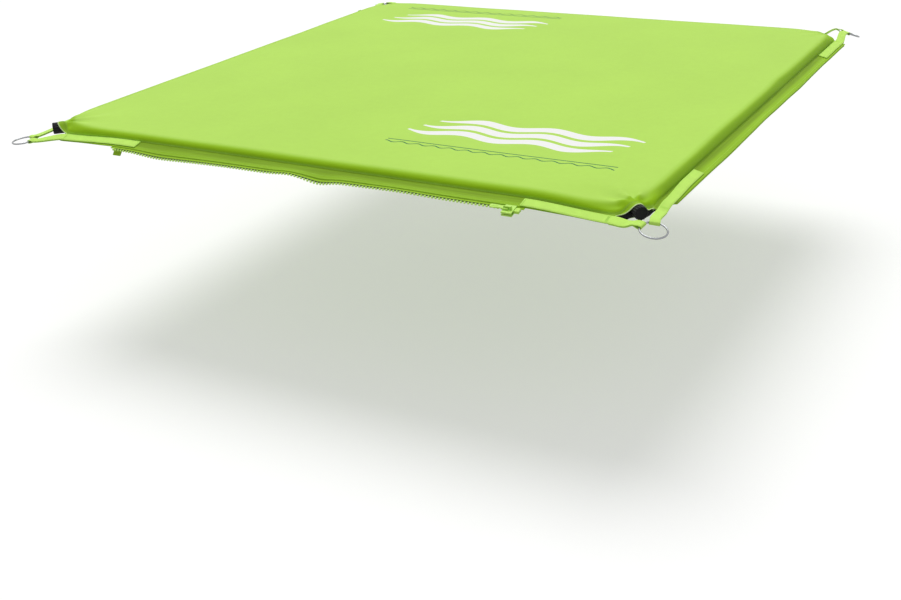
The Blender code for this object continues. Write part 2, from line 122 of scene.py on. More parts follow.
UP = np.array((0.0, 0.0, 1.0))
Z_WAY = Vector(UP)
SIDES = {
    "front": (np.array((0.0, -1, 0)), np.array((1.0, 0, 0)), HALF_DEPTH, HALF_WIDTH),
    "right": (np.array((1.0, 0, 0)), np.array((0.0, 1, 0)), HALF_WIDTH, HALF_DEPTH),
    "back": (np.array((0.0, 1, 0)), np.array((-1.0, 0, 0)), HALF_DEPTH, HALF_WIDTH),
    "left": (np.array((-1.0, 0, 0)), np.array((0.0, -1, 0)), HALF_WIDTH, HALF_DEPTH),
}
SIDE_NAMES = list(SIDES)
VALVE_CORNERS = ("front_left", "front_right")

# How far each corner's seam and top face hang down, and how far that reaches along x and along y
CORNER_SAGS = {
    "front_left": (0.0065, 0.0010, 0.20, 0.06),
    "front_right": (0.0080, 0.0075, 0.19, 0.07),
    "back_right": (0.0010, 0.0005, 0.10, 0.10),
    "back_left": (0.0015, 0.0010, 0.10, 0.10),
}

# Waves of the flange edge on each side: how far up, where along the side, how wide
FLANGE_WAVES = {
    "front": ((-0.0036, 0.045, 0.028), (0.0018, -0.02, 0.026), (-0.0034, -0.34, 0.13), (0.0010, 0.20, 0.06)),
    "right": ((-0.0016, -0.26, 0.07), (0.0014, -0.05, 0.06), (-0.0018, 0.19, 0.06), (0.0008, 0.36, 0.04)),
    "back": ((-0.0014, -0.22, 0.06), (0.0014, 0.0, 0.06), (-0.0018, 0.2, 0.05)),
    "left": ((-0.0014, -0.3, 0.07), (0.0012, -0.1, 0.05), (-0.0018, 0.1, 0.06), (0.0010, 0.3, 0.05)),
}

# How far before the zip's end the waves have died out, over what length, and where at the front's left end
WAVE_STOP = 0.03
WAVE_FADE = 0.08
FRONT_LEFT_FADE = (-0.085, 0.009)


def ease(value, low, high):
    """0 below low, 1 above high, and smooth between them."""
    share = np.clip((value - low) / (high - low), 0.0, 1.0)
    return share * share * (3 - 2 * share)


def corner_signs(name):
    """Which way a corner lies along x and along y."""
    return (1 if "right" in name else -1), (1 if "back" in name else -1)


def corner_middle(name):
    """Middle of a corner cut at the seam, and the way out from it."""
    x_sign, y_sign = corner_signs(name)
    middle = np.array((x_sign * (HALF_WIDTH - CORNER_CUT / 2), y_sign * (HALF_DEPTH - CORNER_CUT / 2), SEAM))
    out = np.array((x_sign, y_sign, 0)) / sqrt(2)
    return middle, out


def corner_coordinates(points, name):
    """Distance inward from the middle of a corner cut, and sideways from it."""
    middle, out = corner_middle(name)
    side = np.array((-out[1], out[0], 0.0))
    offset = points - middle
    return -(offset @ out), offset @ side


def beside_valve(aside):
    """0 over a valve, which holds the cover up, and 1 where the cover hangs freely beside it."""
    return ease(np.abs(aside), 0.007, 0.026)


def corner_sag(points, top=False):
    """How far the corners hang down, except right over a valve, which holds the cover up."""
    points = np.asarray(points, float)
    fall = np.zeros(points.shape[:-1])
    for name, (seam_fall, top_fall, reach_x, reach_y) in CORNER_SAGS.items():
        x_sign, y_sign = corner_signs(name)
        share = 1 - ease(HALF_WIDTH - x_sign * points[..., 0], 0.03, reach_x)
        share = share * (1 - ease(HALF_DEPTH - y_sign * points[..., 1], 0.02, reach_y))
        if name in VALVE_CORNERS:
            depth, aside = corner_coordinates(points, name)
            share = share * (1 - (1 - beside_valve(aside)) * (1 - ease(depth, 0.0, 0.06)))
        fall += (top_fall if top else seam_fall) * share
    return fall


def strap_run(side, sign):
    return STRAP_RUNS.get((side, sign), STRAP_RUN)


def strap_span(side, sign, along):
    """Inner and outer edge of a strap on its flange."""
    inner = STRAP_INSET + STRAP_SHIFTS.get((side, sign), 0.0)
    outer = inner + STRAP_WIDTH * (RIGHT_STRAP_SHARE if side == "right" else 1.0)
    slip = ease(along, *SLIP_RUN) * ((side, sign) == ("right", -1))
    return inner + SLIP_INNER * slip, outer + SLIP_OUTER * slip


def right_cutback(along):
    """How much narrower the right flange is at its front end, under the strap."""
    return RIGHT_FRONT_CUTBACK * ease(-np.asarray(along, float), 0.518, 0.534)


def zip_half(side):
    return SIDES[side][3] - (ZIP_END_INSET if side in ("front", "back") else ZIP_SIDE_INSET)


def flange_wave(side, along):
    """Height of the flange edge's waves, which die out before the zip ends."""
    along = np.asarray(along, float)
    height = np.zeros_like(along)
    for rise, place, width in FLANGE_WAVES[side]:
        height = height + rise * np.exp(-(((along - place) / width) ** 2))
    still = zip_half(side) - WAVE_STOP
    left = FRONT_LEFT_FADE if side == "front" else (-WAVE_FADE, 0.0)
    height = height * (1 - ease(along, still - WAVE_FADE, still))
    return height * (1 - ease(-along, still + left[0], still + left[1]))


def flange_axes(side):
    normal, tangent = SIDES[side][:2]
    out = normal * cos(DROOP) - UP * sin(DROOP)
    lift = normal * sin(DROOP) + UP * cos(DROOP)
    return tangent, out, lift


def on_flange(side, along, out, lift):
    """Points on a side's flange, from the middle of its seam, with the flange's waves."""
    tangent, out_axis, lift_axis = flange_axes(side)
    along, out, lift = np.broadcast_arrays(*(np.asarray(v, float) for v in (along, out, lift)))
    wave = flange_wave(side, along) * np.clip(out / FLANGE, 0, 1.4) ** 1.5
    base = SIDES[side][0] * SIDES[side][2] + UP * SEAM
    points = (base + along[..., None] * tangent + out[..., None] * out_axis
              + lift[..., None] * lift_axis + wave[..., None] * UP)
    return points - corner_sag(points)[..., None] * UP


def curled(side, along, out, lift):
    """The right zip is tucked back under its flange; the others stay flat."""
    if side != "right":
        return out, lift
    out, lift = np.broadcast_arrays(np.asarray(out, float), np.asarray(lift, float))
    bend = FLANGE - TUCK_START - right_cutback(along)
    past = np.maximum(out - bend, 0.0)
    off = lift - TAPE_CENTRE
    angle = np.minimum(past / TUCK_RADIUS, pi)
    straight = past - angle * TUCK_RADIUS
    radius = TUCK_RADIUS + off
    new_out = bend + radius * np.sin(angle) - straight
    new_lift = TAPE_CENTRE - TUCK_RADIUS + radius * np.cos(angle)
    return np.where(past > 0, new_out, out), np.where(past > 0, new_lift, lift)


# Mesh helpers

def link(name, data):
    """A new object in the scene with this mesh, lamp or camera."""
    made = bpy.data.objects.new(name, data)
    bpy.context.scene.collection.objects.link(made)
    return made


def mesh_piece(name, points, faces, finish, body="mat", sharp=40):
    """A mesh object from points and faces, shaded smooth, that rides on a body."""
    mesh = bpy.data.meshes.new(name)
    mesh.from_pydata(np.asarray(points, float).tolist(), [], faces)
    mesh.validate()
    mesh.materials.append(finish)
    made = link(name, mesh)
    face_out(mesh)
    mesh.shade_smooth()
    mesh.set_sharp_from_angle(angle=radians(sharp))
    if body:
        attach(made, body)
    return made


def face_out(mesh):
    build = bmesh.new()
    build.from_mesh(mesh)
    bmesh.ops.recalc_face_normals(build, faces=build.faces)
    build.to_mesh(mesh)
    build.free()


def store(mesh, name, values):
    """Keeps a number or a vector for each point, for the materials."""
    values = np.asarray(values, np.float32)
    kind, key = ("FLOAT", "value") if values.ndim == 1 else ("FLOAT_VECTOR", "vector")
    mesh.attributes.new(name, kind, "POINT").data.foreach_set(key, values.ravel())


def grid_faces(rows, columns, closed_rows=False, start=0):
    """Quads of rows of points, each row closed into a ring."""
    faces = []
    for r in range(rows if closed_rows else rows - 1):
        a, b = start + r * columns, start + (r + 1) % rows * columns
        for c in range(columns):
            d = (c + 1) % columns
            faces.append((a + c, a + d, b + d, b + c))
    return faces


def tube_faces(rows, columns, start=0):
    """Quads of a tube, and a face over each of its ends."""
    last = start + (rows - 1) * columns
    ends = [tuple(range(start, start + columns)), tuple(range(last, last + columns))[::-1]]
    return grid_faces(rows, columns, start=start) + ends


def tipped_faces(rows, columns):
    """Quads of rows of points, closed at both ends by fans onto the two points after them."""
    faces = grid_faces(rows, columns)
    last = (rows - 1) * columns
    for i in range(columns):
        j = (i + 1) % columns
        faces += [(j, i, rows * columns), (last + i, last + j, rows * columns + 1)]
    return faces


def copied_faces(faces, count, copies):
    """The faces of a shape of count points, for each of its copies."""
    return [tuple(i * count + k for k in face) for i in range(copies) for face in faces]


def tube_piece(name, rows, finish, body="mat", sharp=40):
    """A closed solid from cross sections with as many points each."""
    rows = np.asarray(rows, float)
    return mesh_piece(name, rows.reshape(-1, 3), tube_faces(*rows.shape[:2]), finish, body, sharp)


def ring_points(x, reach, angles):
    """Points round the x axis."""
    return np.stack([np.full(len(angles), x), reach * np.cos(angles), reach * np.sin(angles)], 1)


def placed(points, matrix):
    turn = np.array(matrix)
    return points @ turn[:3, :3].T + turn[:3, 3]


# Shader helpers

def new_material(name, base, roughness, metallic=0.0, **inputs):
    """A material, its tree and the inputs of its shader."""
    made = bpy.data.materials.new(name)
    made.use_nodes = True
    shader = made.node_tree.nodes["Principled BSDF"].inputs
    shader["Base Color"].default_value = (*base, 1)
    shader["Roughness"].default_value = roughness
    shader["Metallic"].default_value = metallic
    for label, value in inputs.items():
        shader[label.replace("_", " ")].default_value = value
    return made, made.node_tree, shader


def node(tree, kind, **settings):
    made = tree.nodes.new(kind)
    for key, value in settings.items():
        setattr(made, key, value)
    return made


def feed(target, value):
    """Sets an input socket to a number, a colour or another node's output."""
    if isinstance(value, bpy.types.NodeSocket):
        target.id_data.links.new(value, target)
    else:
        target.default_value = value


def tree_of(*values):
    """The tree of the first socket among some values."""
    return next(value.id_data for value in values if isinstance(value, bpy.types.NodeSocket))


def maths(operation, a, b=0.0):
    made = node(tree_of(a, b), "ShaderNodeMath", operation=operation)
    feed(made.inputs[0], a)
    feed(made.inputs[1], b)
    return made.outputs[0]


def product(first, *others):
    for other in others:
        first = maths("MULTIPLY", first, other)
    return first


def away(value, centre):
    """How far a value is from a centre."""
    return maths("ABSOLUTE", maths("SUBTRACT", value, centre))


def span(value, low, high, new_low=0.0, new_high=1.0, kind="LINEAR"):
    """A value brought from one range to another, and kept in it."""
    made = node(tree_of(value), "ShaderNodeMapRange", interpolation_type=kind)
    for socket, number in zip(made.inputs, (value, low, high, new_low, new_high)):
        feed(socket, number)
    return made.outputs[0]


def blend_colours(share, a, b, mode="MIX"):
    made = node(tree_of(share, a, b), "ShaderNodeMix", data_type="RGBA", blend_type=mode)
    for number, value in ((0, share), (6, a), (7, b)):
        feed(made.inputs[number], (*value, 1) if isinstance(value, tuple) else value)
    return made.outputs[2]


def shaded(colour, shade):
    """A colour made lighter or darker by a number."""
    tone = node(shade.id_data, "ShaderNodeCombineColor")
    for socket in tone.inputs[:3]:
        feed(socket, shade)
    return blend_colours(1.0, colour, tone.outputs[0], "MULTIPLY")


def object_place(tree):
    return node(tree, "ShaderNodeTexCoord").outputs["Object"]


def stored(tree, name, output="Vector"):
    """A value that each point keeps."""
    return node(tree, "ShaderNodeAttribute", attribute_name=name).outputs[output]


def noise_value(place, scale, detail):
    made = node(place.id_data, "ShaderNodeTexNoise")
    for label, value in (("Vector", place), ("Scale", scale), ("Detail", detail)):
        feed(made.inputs[label], value)
    return made.outputs["Fac"]


def bump(shader, height, strength, distance):
    made = node(height.id_data, "ShaderNodeBump")
    for label, value in (("Strength", strength), ("Distance", distance), ("Height", height)):
        feed(made.inputs[label], value)
    feed(shader["Normal"], made.outputs["Normal"])


def new_group(name, inputs, outputs):
    """An empty shader group with inputs as label: kind and number outputs, as its tree and their sockets."""
    tree = bpy.data.node_groups.new(name, "ShaderNodeTree")
    for label, kind in inputs.items():
        tree.interface.new_socket(name=label, in_out="INPUT", socket_type="NodeSocket" + kind)
    for label in outputs:
        tree.interface.new_socket(name=label, in_out="OUTPUT", socket_type="NodeSocketFloat")
    return tree, tree.nodes.new("NodeGroupInput").outputs, tree.nodes.new("NodeGroupOutput").inputs


def use_group(group, **values):
    """A node of a group, fed with its inputs by name; Place is always among them."""
    made = node(values["Place"].id_data, "ShaderNodeGroup", node_tree=group)
    for label, value in values.items():
        feed(made.inputs[label.replace("_", " ")], value)
    return made.outputs


def woven_threads():
    """Over-and-under threads of a plain weave, from a place in metres."""
    kinds = {"Place": "Vector", "Pitch": "Float", "Thread Length": "Float"}
    tree, given, result = new_group("woven_threads", kinds, ("Height", "Thread"))
    parts = node(tree, "ShaderNodeSeparateXYZ")
    feed(parts.inputs[0], given["Place"])
    turns = maths("DIVIDE", pi, given["Pitch"])
    long_turns = maths("DIVIDE", turns, given["Thread Length"])
    warp = maths("SINE", product(parts.outputs["X"], long_turns))
    weft = maths("SINE", product(parts.outputs["Y"], turns))
    feed(result["Height"], span(product(warp, weft), -1.0, 1.0))
    feed(result["Thread"], maths("ABSOLUTE", weft))
    return tree


def cloth_mottle():
    """A faint uneven shade, as dyed cloth has, and slow creases."""
    kinds = {"Place": "Vector", "Size": "Float"}
    tree, given, result = new_group("cloth_mottle", kinds, ("Shade", "Crease"))
    place, size = given["Place"], given["Size"]
    broad = noise_value(place, size, 3.0)
    fine = noise_value(place, product(size, 14.0), 2.0)
    feed(result["Shade"], maths("ADD", product(broad, 0.7), product(fine, 0.3)))
    stretched = node(tree, "ShaderNodeMapping")
    feed(stretched.inputs["Vector"], place)
    stretched.inputs["Scale"].default_value = (1.0, 2.6, 1.0)
    feed(result["Crease"], noise_value(stretched.outputs[0], size, 1.0))
    return tree


def moulded_grain():
    """Fine spark-eroded grain of moulded plastic."""
    kinds = {"Place": "Vector", "Grain Size": "Float"}
    tree, given, result = new_group("moulded_grain", kinds, ("Height", "Rub"))
    scale = maths("DIVIDE", 1.0, given["Grain Size"])
    feed(result["Height"], noise_value(given["Place"], scale, 1.0))
    feed(result["Rub"], noise_value(given["Place"], 140.0, 2.0))
    return tree


# Bands of the print: middle, left end and right end, with their half width, end width, taper and slant
WAVE_BANDS = ((0.036, -0.178, 0.206), (0.0, -0.196, 0.188), (-0.036, -0.214, 0.170))
BAND_HALF, BAND_TIP, BAND_TAPER, BAND_SLANT = 0.0125, 0.003, 0.075, 0.5
PRINT_DEPTH = 0.004


def sway(x, length, height):
    """A sine wave of this length and height."""
    return product(maths("SINE", product(x, 2 * pi / length)), height)


def wave_print():
    """Masks of a printed panel: three white wave bands over a thin rule and a ripple, from its own middle."""
    kinds = {"Place": "Vector", "Middle": "Vector", "Facing": "Float"}
    tree, given, result = new_group("wave_print", kinds, ("Waves", "Rule"))
    local = node(tree, "ShaderNodeVectorMath", operation="SUBTRACT")
    feed(local.inputs[0], given["Place"])
    feed(local.inputs[1], given["Middle"])
    parts = node(tree, "ShaderNodeSeparateXYZ")
    feed(parts.inputs[0], local.outputs[0])
    x = product(parts.outputs["X"], given["Facing"])
    y = product(parts.outputs["Y"], given["Facing"])
    top = maths("GREATER_THAN", parts.outputs["Z"], -PRINT_DEPTH)
    level = maths("SUBTRACT", y, sway(x, 0.142, 0.009))
    waves = 0.0
    for centre, left, right in WAVE_BANDS:
        slant = maths("SUBTRACT", x, product(maths("SUBTRACT", y, centre), BAND_SLANT))
        end = away(slant, (left + right) / 2)
        half_length = (right - left) / 2
        half_width = span(end, half_length - BAND_TAPER, half_length, BAND_HALF, BAND_TIP, "SMOOTHSTEP")
        band = product(maths("LESS_THAN", away(level, centre), half_width),
                       maths("LESS_THAN", end, half_length))
        waves = maths("MAXIMUM", waves, band)
    feed(result["Waves"], product(waves, top))
    under = maths("SUBTRACT", maths("ADD", y, 0.110), sway(x, 0.032, 0.0032))
    rule = maths("MAXIMUM", maths("LESS_THAN", away(y, -0.098), 0.0014),
                 maths("LESS_THAN", maths("ABSOLUTE", under), 0.0016))
    length = maths("LESS_THAN", away(x, -0.002), 0.216)
    feed(result["Rule"], product(rule, length, top))
    return tree


THREADS = woven_threads()
MOTTLE = cloth_mottle()
GRAIN = moulded_grain()
PRINT = wave_print()

LIME = (0.452, 0.725, 0.106)
# Painted shade: the flange is darkened with this towards the pad's wall, which shades it
LIME_FLANGE_SHADE = (0.190, 0.335, 0.008)
# Painted shade on the wall under the rolled edge, deeper on the right side's wall
LIME_WALL_SHADE = (0.285, 0.530, 0.004)
LIME_RIGHT_WALL_SHADE = (0.200, 0.385, 0.003)
LIME_WEBBING = (0.600, 0.955, 0.160)
LIME_TAPE = (0.350, 0.610, 0.022)
LIME_PLASTIC = (0.480, 0.800, 0.070)
LIME_SLIDER = (0.480, 0.800, 0.100)
# Painted shade for the roots of the zip teeth, between them
LIME_ROOT_SHADE = (0.075, 0.150, 0.004)
# Pale cut fabric at the corner lips, and painted light on the cloth's rims, which would lie in shade
LIME_CUT_AND_PAINTED_LIGHT = (0.620, 0.800, 0.360)
DARK_GREEN = (0.010, 0.150, 0.060)
PRINT_WHITE = (0.900, 0.900, 0.880)
BLACK = (0.004, 0.004, 0.005)
STEEL = (0.30, 0.31, 0.32)
TARNISHED = (0.16, 0.16, 0.16)
FOAM = (0.80, 0.78, 0.66)

# Middle of each printed panel, and which way up it is
PRINTS = (((0.2885, -0.358, THICKNESS), 1.0), ((-0.268, 0.434, THICKNESS), -1.0))


def cover_material(name, prints):
    """Coated fabric of the cover, with painted shade on its welded flange and on the wall under its rolled edge.
    """
    made, tree, shader = new_material(name, LIME, 0.62, Specular_IOR_Level=0.14)
    place = object_place(tree)
    weave = use_group(THREADS, Place=place, Pitch=0.0007, Thread_Length=1.0)["Height"]
    mottle = use_group(MOTTLE, Place=place, Size=5.0)
    zones = node(tree, "ShaderNodeSeparateXYZ")
    feed(zones.inputs[0], stored(tree, "cover_zones"))
    flange_shade_base, wall_shade, right_wall_shade = zones.outputs
    streaks = node(tree, "ShaderNodeVectorMath", operation="MULTIPLY")
    feed(streaks.inputs[0], stored(tree, "edge_place"))
    streaks.inputs[1].default_value = (9.0, 260.0, 1.0)
    streak = span(noise_value(streaks.outputs[0], 1.0, 3.0), 0.32, 0.72, -0.30, 0.30)
    flange_shade = maths("ADD", flange_shade_base, product(streak, flange_shade_base))
    # Painted shade on the wall under the rolled edge, deeper still on the right side
    colours = blend_colours(wall_shade, LIME, LIME_WALL_SHADE)
    colours = blend_colours(right_wall_shade, colours, LIME_RIGHT_WALL_SHADE)
    # Painted shade on the flange, as cast by the pad's edge
    colours = blend_colours(span(flange_shade, 0.0, 1.0), colours, LIME_FLANGE_SHADE)
    shade = span(mottle["Shade"], 0.3, 0.7, 0.965, 1.035)
    colours = shaded(colours, product(shade, span(weave, 0.0, 1.0, 0.97, 1.03)))
    for middle, facing in prints:
        marks = use_group(PRINT, Place=place, Middle=middle, Facing=facing)
        colours = blend_colours(marks["Waves"], colours, PRINT_WHITE)
        colours = blend_colours(marks["Rule"], colours, DARK_GREEN)
    feed(shader["Base Color"], colours)
    feed(shader["Roughness"], span(weave, 0.0, 1.0, 0.68, 0.56))
    creases = product(mottle["Crease"], 1.2)
    bump(shader, maths("ADD", product(weave, 0.06), creases), 0.35, 0.002)
    return made


def woven_material(name, colour, pitch, length, depth, rough):
    """Webbing or tape: coarse threads that follow the cloth."""
    made, tree, shader = new_material(name, colour, rough, Specular_IOR_Level=0.2, Sheen_Weight=0.03,
                                      Sheen_Roughness=0.4)
    place = stored(tree, "cloth_place")
    weave = use_group(THREADS, Place=place, Pitch=pitch, Thread_Length=length)
    mottle = use_group(MOTTLE, Place=place, Size=60.0)
    shade = product(span(weave["Height"], 0.0, 1.0, 0.88, 1.04),
                    span(mottle["Shade"], 0.3, 0.7, 0.93, 1.04))
    feed(shader["Base Color"], shaded(colour, shade))
    feed(shader["Roughness"], span(weave["Thread"], 0.0, 1.0, rough + 0.12, rough - 0.05))
    bump(shader, weave["Height"], 0.7, depth)
    return made


def plastic_material(name, colour, rough, grain, rub_colour, shine=0.35, root_shade_colour=None):
    """Moulded plastic with a fine grain, lighter where it is rubbed, and with painted shade at the roots of
    teeth.
    """
    made, tree, shader = new_material(name, colour, rough, Specular_IOR_Level=shine)
    moulded = use_group(GRAIN, Place=object_place(tree), Grain_Size=grain)
    rub = span(moulded["Rub"], 0.45, 0.75, 0.0, 1.0, "SMOOTHSTEP")
    colours = blend_colours(product(rub, 0.5), colour, rub_colour)
    # Painted shade at the roots of the teeth
    if root_shade_colour:
        colours = blend_colours(stored(tree, "tooth_tip", "Fac"), root_shade_colour, colours)
    feed(shader["Base Color"], colours)
    feed(shader["Roughness"], span(moulded["Rub"], 0.3, 0.7, rough - 0.06, rough + 0.08))
    bump(shader, moulded["Height"], 0.25, grain * 0.4)
    return made


def steel_material():
    """Bright drawn wire with a fine grain and a little tarnish."""
    made, tree, shader = new_material("ring_steel", STEEL, 0.24, 1.0)
    place = object_place(tree)
    tarnish = use_group(MOTTLE, Place=place, Size=90.0)["Shade"]
    moulded = use_group(GRAIN, Place=place, Grain_Size=0.00035)
    stain = span(tarnish, 0.4, 0.7, 0.0, 0.35, "SMOOTHSTEP")
    feed(shader["Base Color"], blend_colours(stain, STEEL, TARNISHED))
    feed(shader["Roughness"], span(tarnish, 0.3, 0.7, 0.17, 0.33))
    bump(shader, moulded["Height"], 0.12, 0.0001)
    return made


def foam_material():
    made, tree, shader = new_material("foam_cells", FOAM, 0.95)
    cells = node(tree, "ShaderNodeTexVoronoi", feature="F1")
    feed(cells.inputs["Vector"], object_place(tree))
    cells.inputs["Scale"].default_value = 900.0
    depth = cells.outputs["Distance"]
    feed(shader["Base Color"], shaded(FOAM, span(depth, 0.0, 0.8, 0.75, 1.05)))
    bump(shader, depth, 0.6, 0.0008)
    return made


TOP_FABRIC = cover_material("cover_fabric_printed", PRINTS)
UNDER_FABRIC = cover_material("underside_fabric", ())
# Pale cut fabric at the corner lips, and painted light on the cloth's rims
CUT_EDGE_AND_PAINTED_LIGHT = woven_material("cover_cut_edge_and_painted_light", LIME_CUT_AND_PAINTED_LIGHT, 0.0007, 1.0, 0.0002, 0.8)
WEBBING = woven_material("webbing", LIME_WEBBING, 0.0011, 1.8, 0.0006, 0.7)
TAPE_CLOTH = woven_material("zip_tape", LIME_TAPE, 0.0008, 1.3, 0.0004, 0.75)
THREAD = woven_material("sewing_thread", LIME_WEBBING, 0.0005, 1.0, 0.0002, 0.7)
TOOTH_PLASTIC = plastic_material("zip_tooth_plastic", LIME_PLASTIC, 0.38, 0.0004, LIME_WEBBING)
# The row of teeth takes painted shade at their roots
TOOTH_ROW_PLASTIC = plastic_material("zip_tooth_row_plastic", LIME_WEBBING, 0.38, 0.0004, LIME_WEBBING,
                                     root_shade_colour=LIME_ROOT_SHADE)
SLIDER_PLASTIC = plastic_material("slider_plastic", LIME_SLIDER, 0.36, 0.0004, LIME_WEBBING)
VALVE_PLASTIC = plastic_material("valve_plastic", BLACK, 0.5, 0.0004, (0.010, 0.010, 0.011), 0.12)
CAP_PLASTIC = plastic_material("cap_plastic", BLACK, 0.45, 0.0005, (0.012, 0.012, 0.013), 0.16)
SEAL_RUBBER = plastic_material("seal_rubber", (0.02, 0.02, 0.02), 0.7, 0.0006, (0.04, 0.04, 0.04), 0.2)
RING_STEEL = steel_material()
FOAM_CELLS = foam_material()


# Cover: columns run round the pad, rows from the flange edge to the middle

SIDE_COLUMNS = 161
CUT_COLUMNS = 25

# For each column: its side's number, whether it is on a corner cut, and its share along that stretch
COLUMN_SIDE = np.repeat(range(4), SIDE_COLUMNS + CUT_COLUMNS)
COLUMN_CUT = np.tile(np.repeat((False, True), (SIDE_COLUMNS, CUT_COLUMNS)), 4)
COLUMN_SHARE = np.tile(np.append(np.linspace(-1, 1, SIDE_COLUMNS), np.linspace(0.008, 0.992, CUT_COLUMNS)), 4)


def column_places(inset):
    """Places of all columns at an inset from the seam, with the way out at each."""
    normals, tangents, outs, alongs = (np.array(values) for values in zip(*SIDES.values()))

    def on_side(number, share):
        run = (alongs[number] - CORNER_CUT - inset * CORNER_SHARE) * share
        return normals[number] * (outs[number] - inset)[:, None] + tangents[number] * run[:, None]

    after = (COLUMN_SIDE + 1) % 4
    share, is_cut = COLUMN_SHARE[:, None], COLUMN_CUT[:, None]
    over_cut = on_side(COLUMN_SIDE, 1) * (1 - share) + on_side(after, -1) * share
    ways = normals[COLUMN_SIDE] + normals[after] * is_cut
    places = np.where(is_cut, over_cut, on_side(COLUMN_SIDE, COLUMN_SHARE))
    return places, ways / np.linalg.norm(ways, axis=1)[:, None]


SEAM_PLACES, SEAM_WAYS = column_places(0.0)

# The columns of each side without its corner cuts, and their places along it
ON_SIDE = {name: (COLUMN_SIDE == number) & ~COLUMN_CUT for number, name in enumerate(SIDE_NAMES)}
SIDE_ALONG = {name: SEAM_PLACES[ON_SIDE[name]] @ SIDES[name][1] for name in SIDE_NAMES}


def by_side(measure):
    """A value for each column from a function of a side and the places along it; 0 on the corner cuts."""
    values = np.zeros(len(COLUMN_SIDE))
    for side in SIDE_NAMES:
        values[ON_SIDE[side]] = measure(side, SIDE_ALONG[side])
    return values


def at_valves(measure):
    """A value for each column near a valve from its distance aside of the valve."""
    values = np.zeros(len(COLUMN_SIDE))
    for name in VALVE_CORNERS:
        depth, aside = corner_coordinates(SEAM_PLACES, name)
        values += measure(aside) * (depth < 0.05)
    return values


# 1 on a corner cut, falling to 0 along the sides beside it
CORNER_NEAR = 1 - by_side(lambda side, along: ease(SIDES[side][3] - CORNER_CUT - np.abs(along), 0.0, 0.055))


# The cover's lips at a valve: how far the upper one stands up beside the arch and in it, how wide the arch
# is, how much of it there is at the seam, how far the lower lip hangs and how far the upper one reaches out
LIP_EDGE = 0.0012
LIP_ARCH = 0.0102
ARCH_WIDTH = 0.0118
ARCH_AT_SEAM = 0.74
LIP_DROP = 0.0130
LIP_HOOD = 0.0130


def lip_rise(aside):
    """How far the cover's upper lip arches over the valve's fin and cap."""
    aside = np.abs(aside)
    hump = LIP_EDGE * (1 - ease(aside, 0.026, 0.032)) + LIP_ARCH * np.exp(-((aside / ARCH_WIDTH) ** 2.5))
    return hump * (1 - ease(aside, 0.028, 0.034))


def lip_drop(aside):
    """How far the lower lip hangs under the fin."""
    return LIP_DROP * (1 - ease(np.abs(aside), 0.013, 0.033))


def lip_hood(aside):
    """How much further out the upper lip reaches, over the start of the cap."""
    return LIP_HOOD * (1 - ease(np.abs(aside), 0.005, 0.029))


def roof_share(out):
    """The upper lip is pulled down at the seam and fully raised over the cap."""
    return ARCH_AT_SEAM + (1 - ARCH_AT_SEAM) * ease(out, 0.0, 0.005)


def valve_bulge(points, sign=1):
    """How far the weld parts to go over the valve's fin and stem."""
    rise = np.zeros(len(points))
    for name in VALVE_CORNERS:
        depth, aside = corner_coordinates(points, name)
        rise += (lip_rise(aside) if sign > 0 else lip_drop(aside)) * (1 - ease(depth, 0.03, 0.07))
    return rise


def soften(points, rounds):
    """Rounds off the corners of a closed line of points."""
    for _ in range(rounds):
        points = points + 0.5 * ((np.roll(points, 1, 0) + np.roll(points, -1, 0)) / 2 - points)
    return points


# Rows of the flange from its edge to the seam, and how far the top cloth's edge turns down
FLANGE_ROWS = (1.0, 0.955, 0.88, 0.78, 0.65, 0.52, 0.38, 0.25, 0.13, 0.05)
EDGE_TURN = 0.0009

# The wall from the seam up: share of the height, inset from the seam and share of the side's painted shade
WALL = (
    (0.03, -0.0002, 0.45), (0.12, -0.0008, 0.85), (0.26, -0.0012, 1.0), (0.42, -0.0009, 1.0),
    (0.58, 0.0000, 1.0), (0.72, 0.0013, 1.0), (0.82, 0.0027, 0.98), (0.89, 0.0042, 0.93),
    (0.94, 0.0059, 0.82), (0.972, 0.0080, 0.62), (0.990, 0.0108, 0.38), (1.0, 0.0155, 0.14),
)
CORNER_ROLL = 0.019
RIGHT_ROLL = 0.004
UNDER_ROLL = 0.009

# Rows of the underside as degrees of its roll, then of both faces as insets and as shares of the last
UNDER_ANGLES = (8, 18, 29, 40, 51, 62, 73, 82, 90)
INNER_STEPS = (0.003, 0.007, 0.012, 0.018, 0.025, 0.033, 0.042)
INNER_SCALES = (0.982, 0.962, 0.938, 0.91, 0.875, 0.83, 0.77, 0.70, 0.61, 0.50, 0.38, 0.25, 0.12)

# Soft dents of the rolled edge: place along the side, width and depth
EDGE_DENTS = {
    "front": ((-0.12, 0.09, 0.0008), (0.26, 0.08, 0.0010)),
    "right": ((0.155, 0.045, 0.0030), (-0.20, 0.07, 0.0012)),
    "back": ((0.1, 0.08, 0.0012),),
    "left": ((-0.2, 0.06, 0.0015), (0.22, 0.08, 0.0010)),
}


def edge_dents(side, along):
    return sum(depth * np.exp(-(((along - place) / width) ** 2)) for place, width, depth in EDGE_DENTS[side])


COLUMN_DENTS = by_side(edge_dents) + RIGHT_ROLL * (1 - CORNER_NEAR) * ON_SIDE["right"]


def flange_cutback(side, along):
    """How much less the flange stands out where only a strap covers it."""
    if side in ("front", "back"):
        return END_FLANGE_CUTBACK * ease(np.abs(along), 0.432, 0.52)
    return RIGHT_FLANGE_CUTBACK + right_cutback(along) if side == "right" else 0.0


# How far the flange stands out: a lip at the cuts, and a little less under the straps
FLANGE_REACH = np.where(COLUMN_CUT, CORNER_LIP, FLANGE * cos(DROOP)) - by_side(flange_cutback)
UNDER_FLANGE_SHARE = 0.965


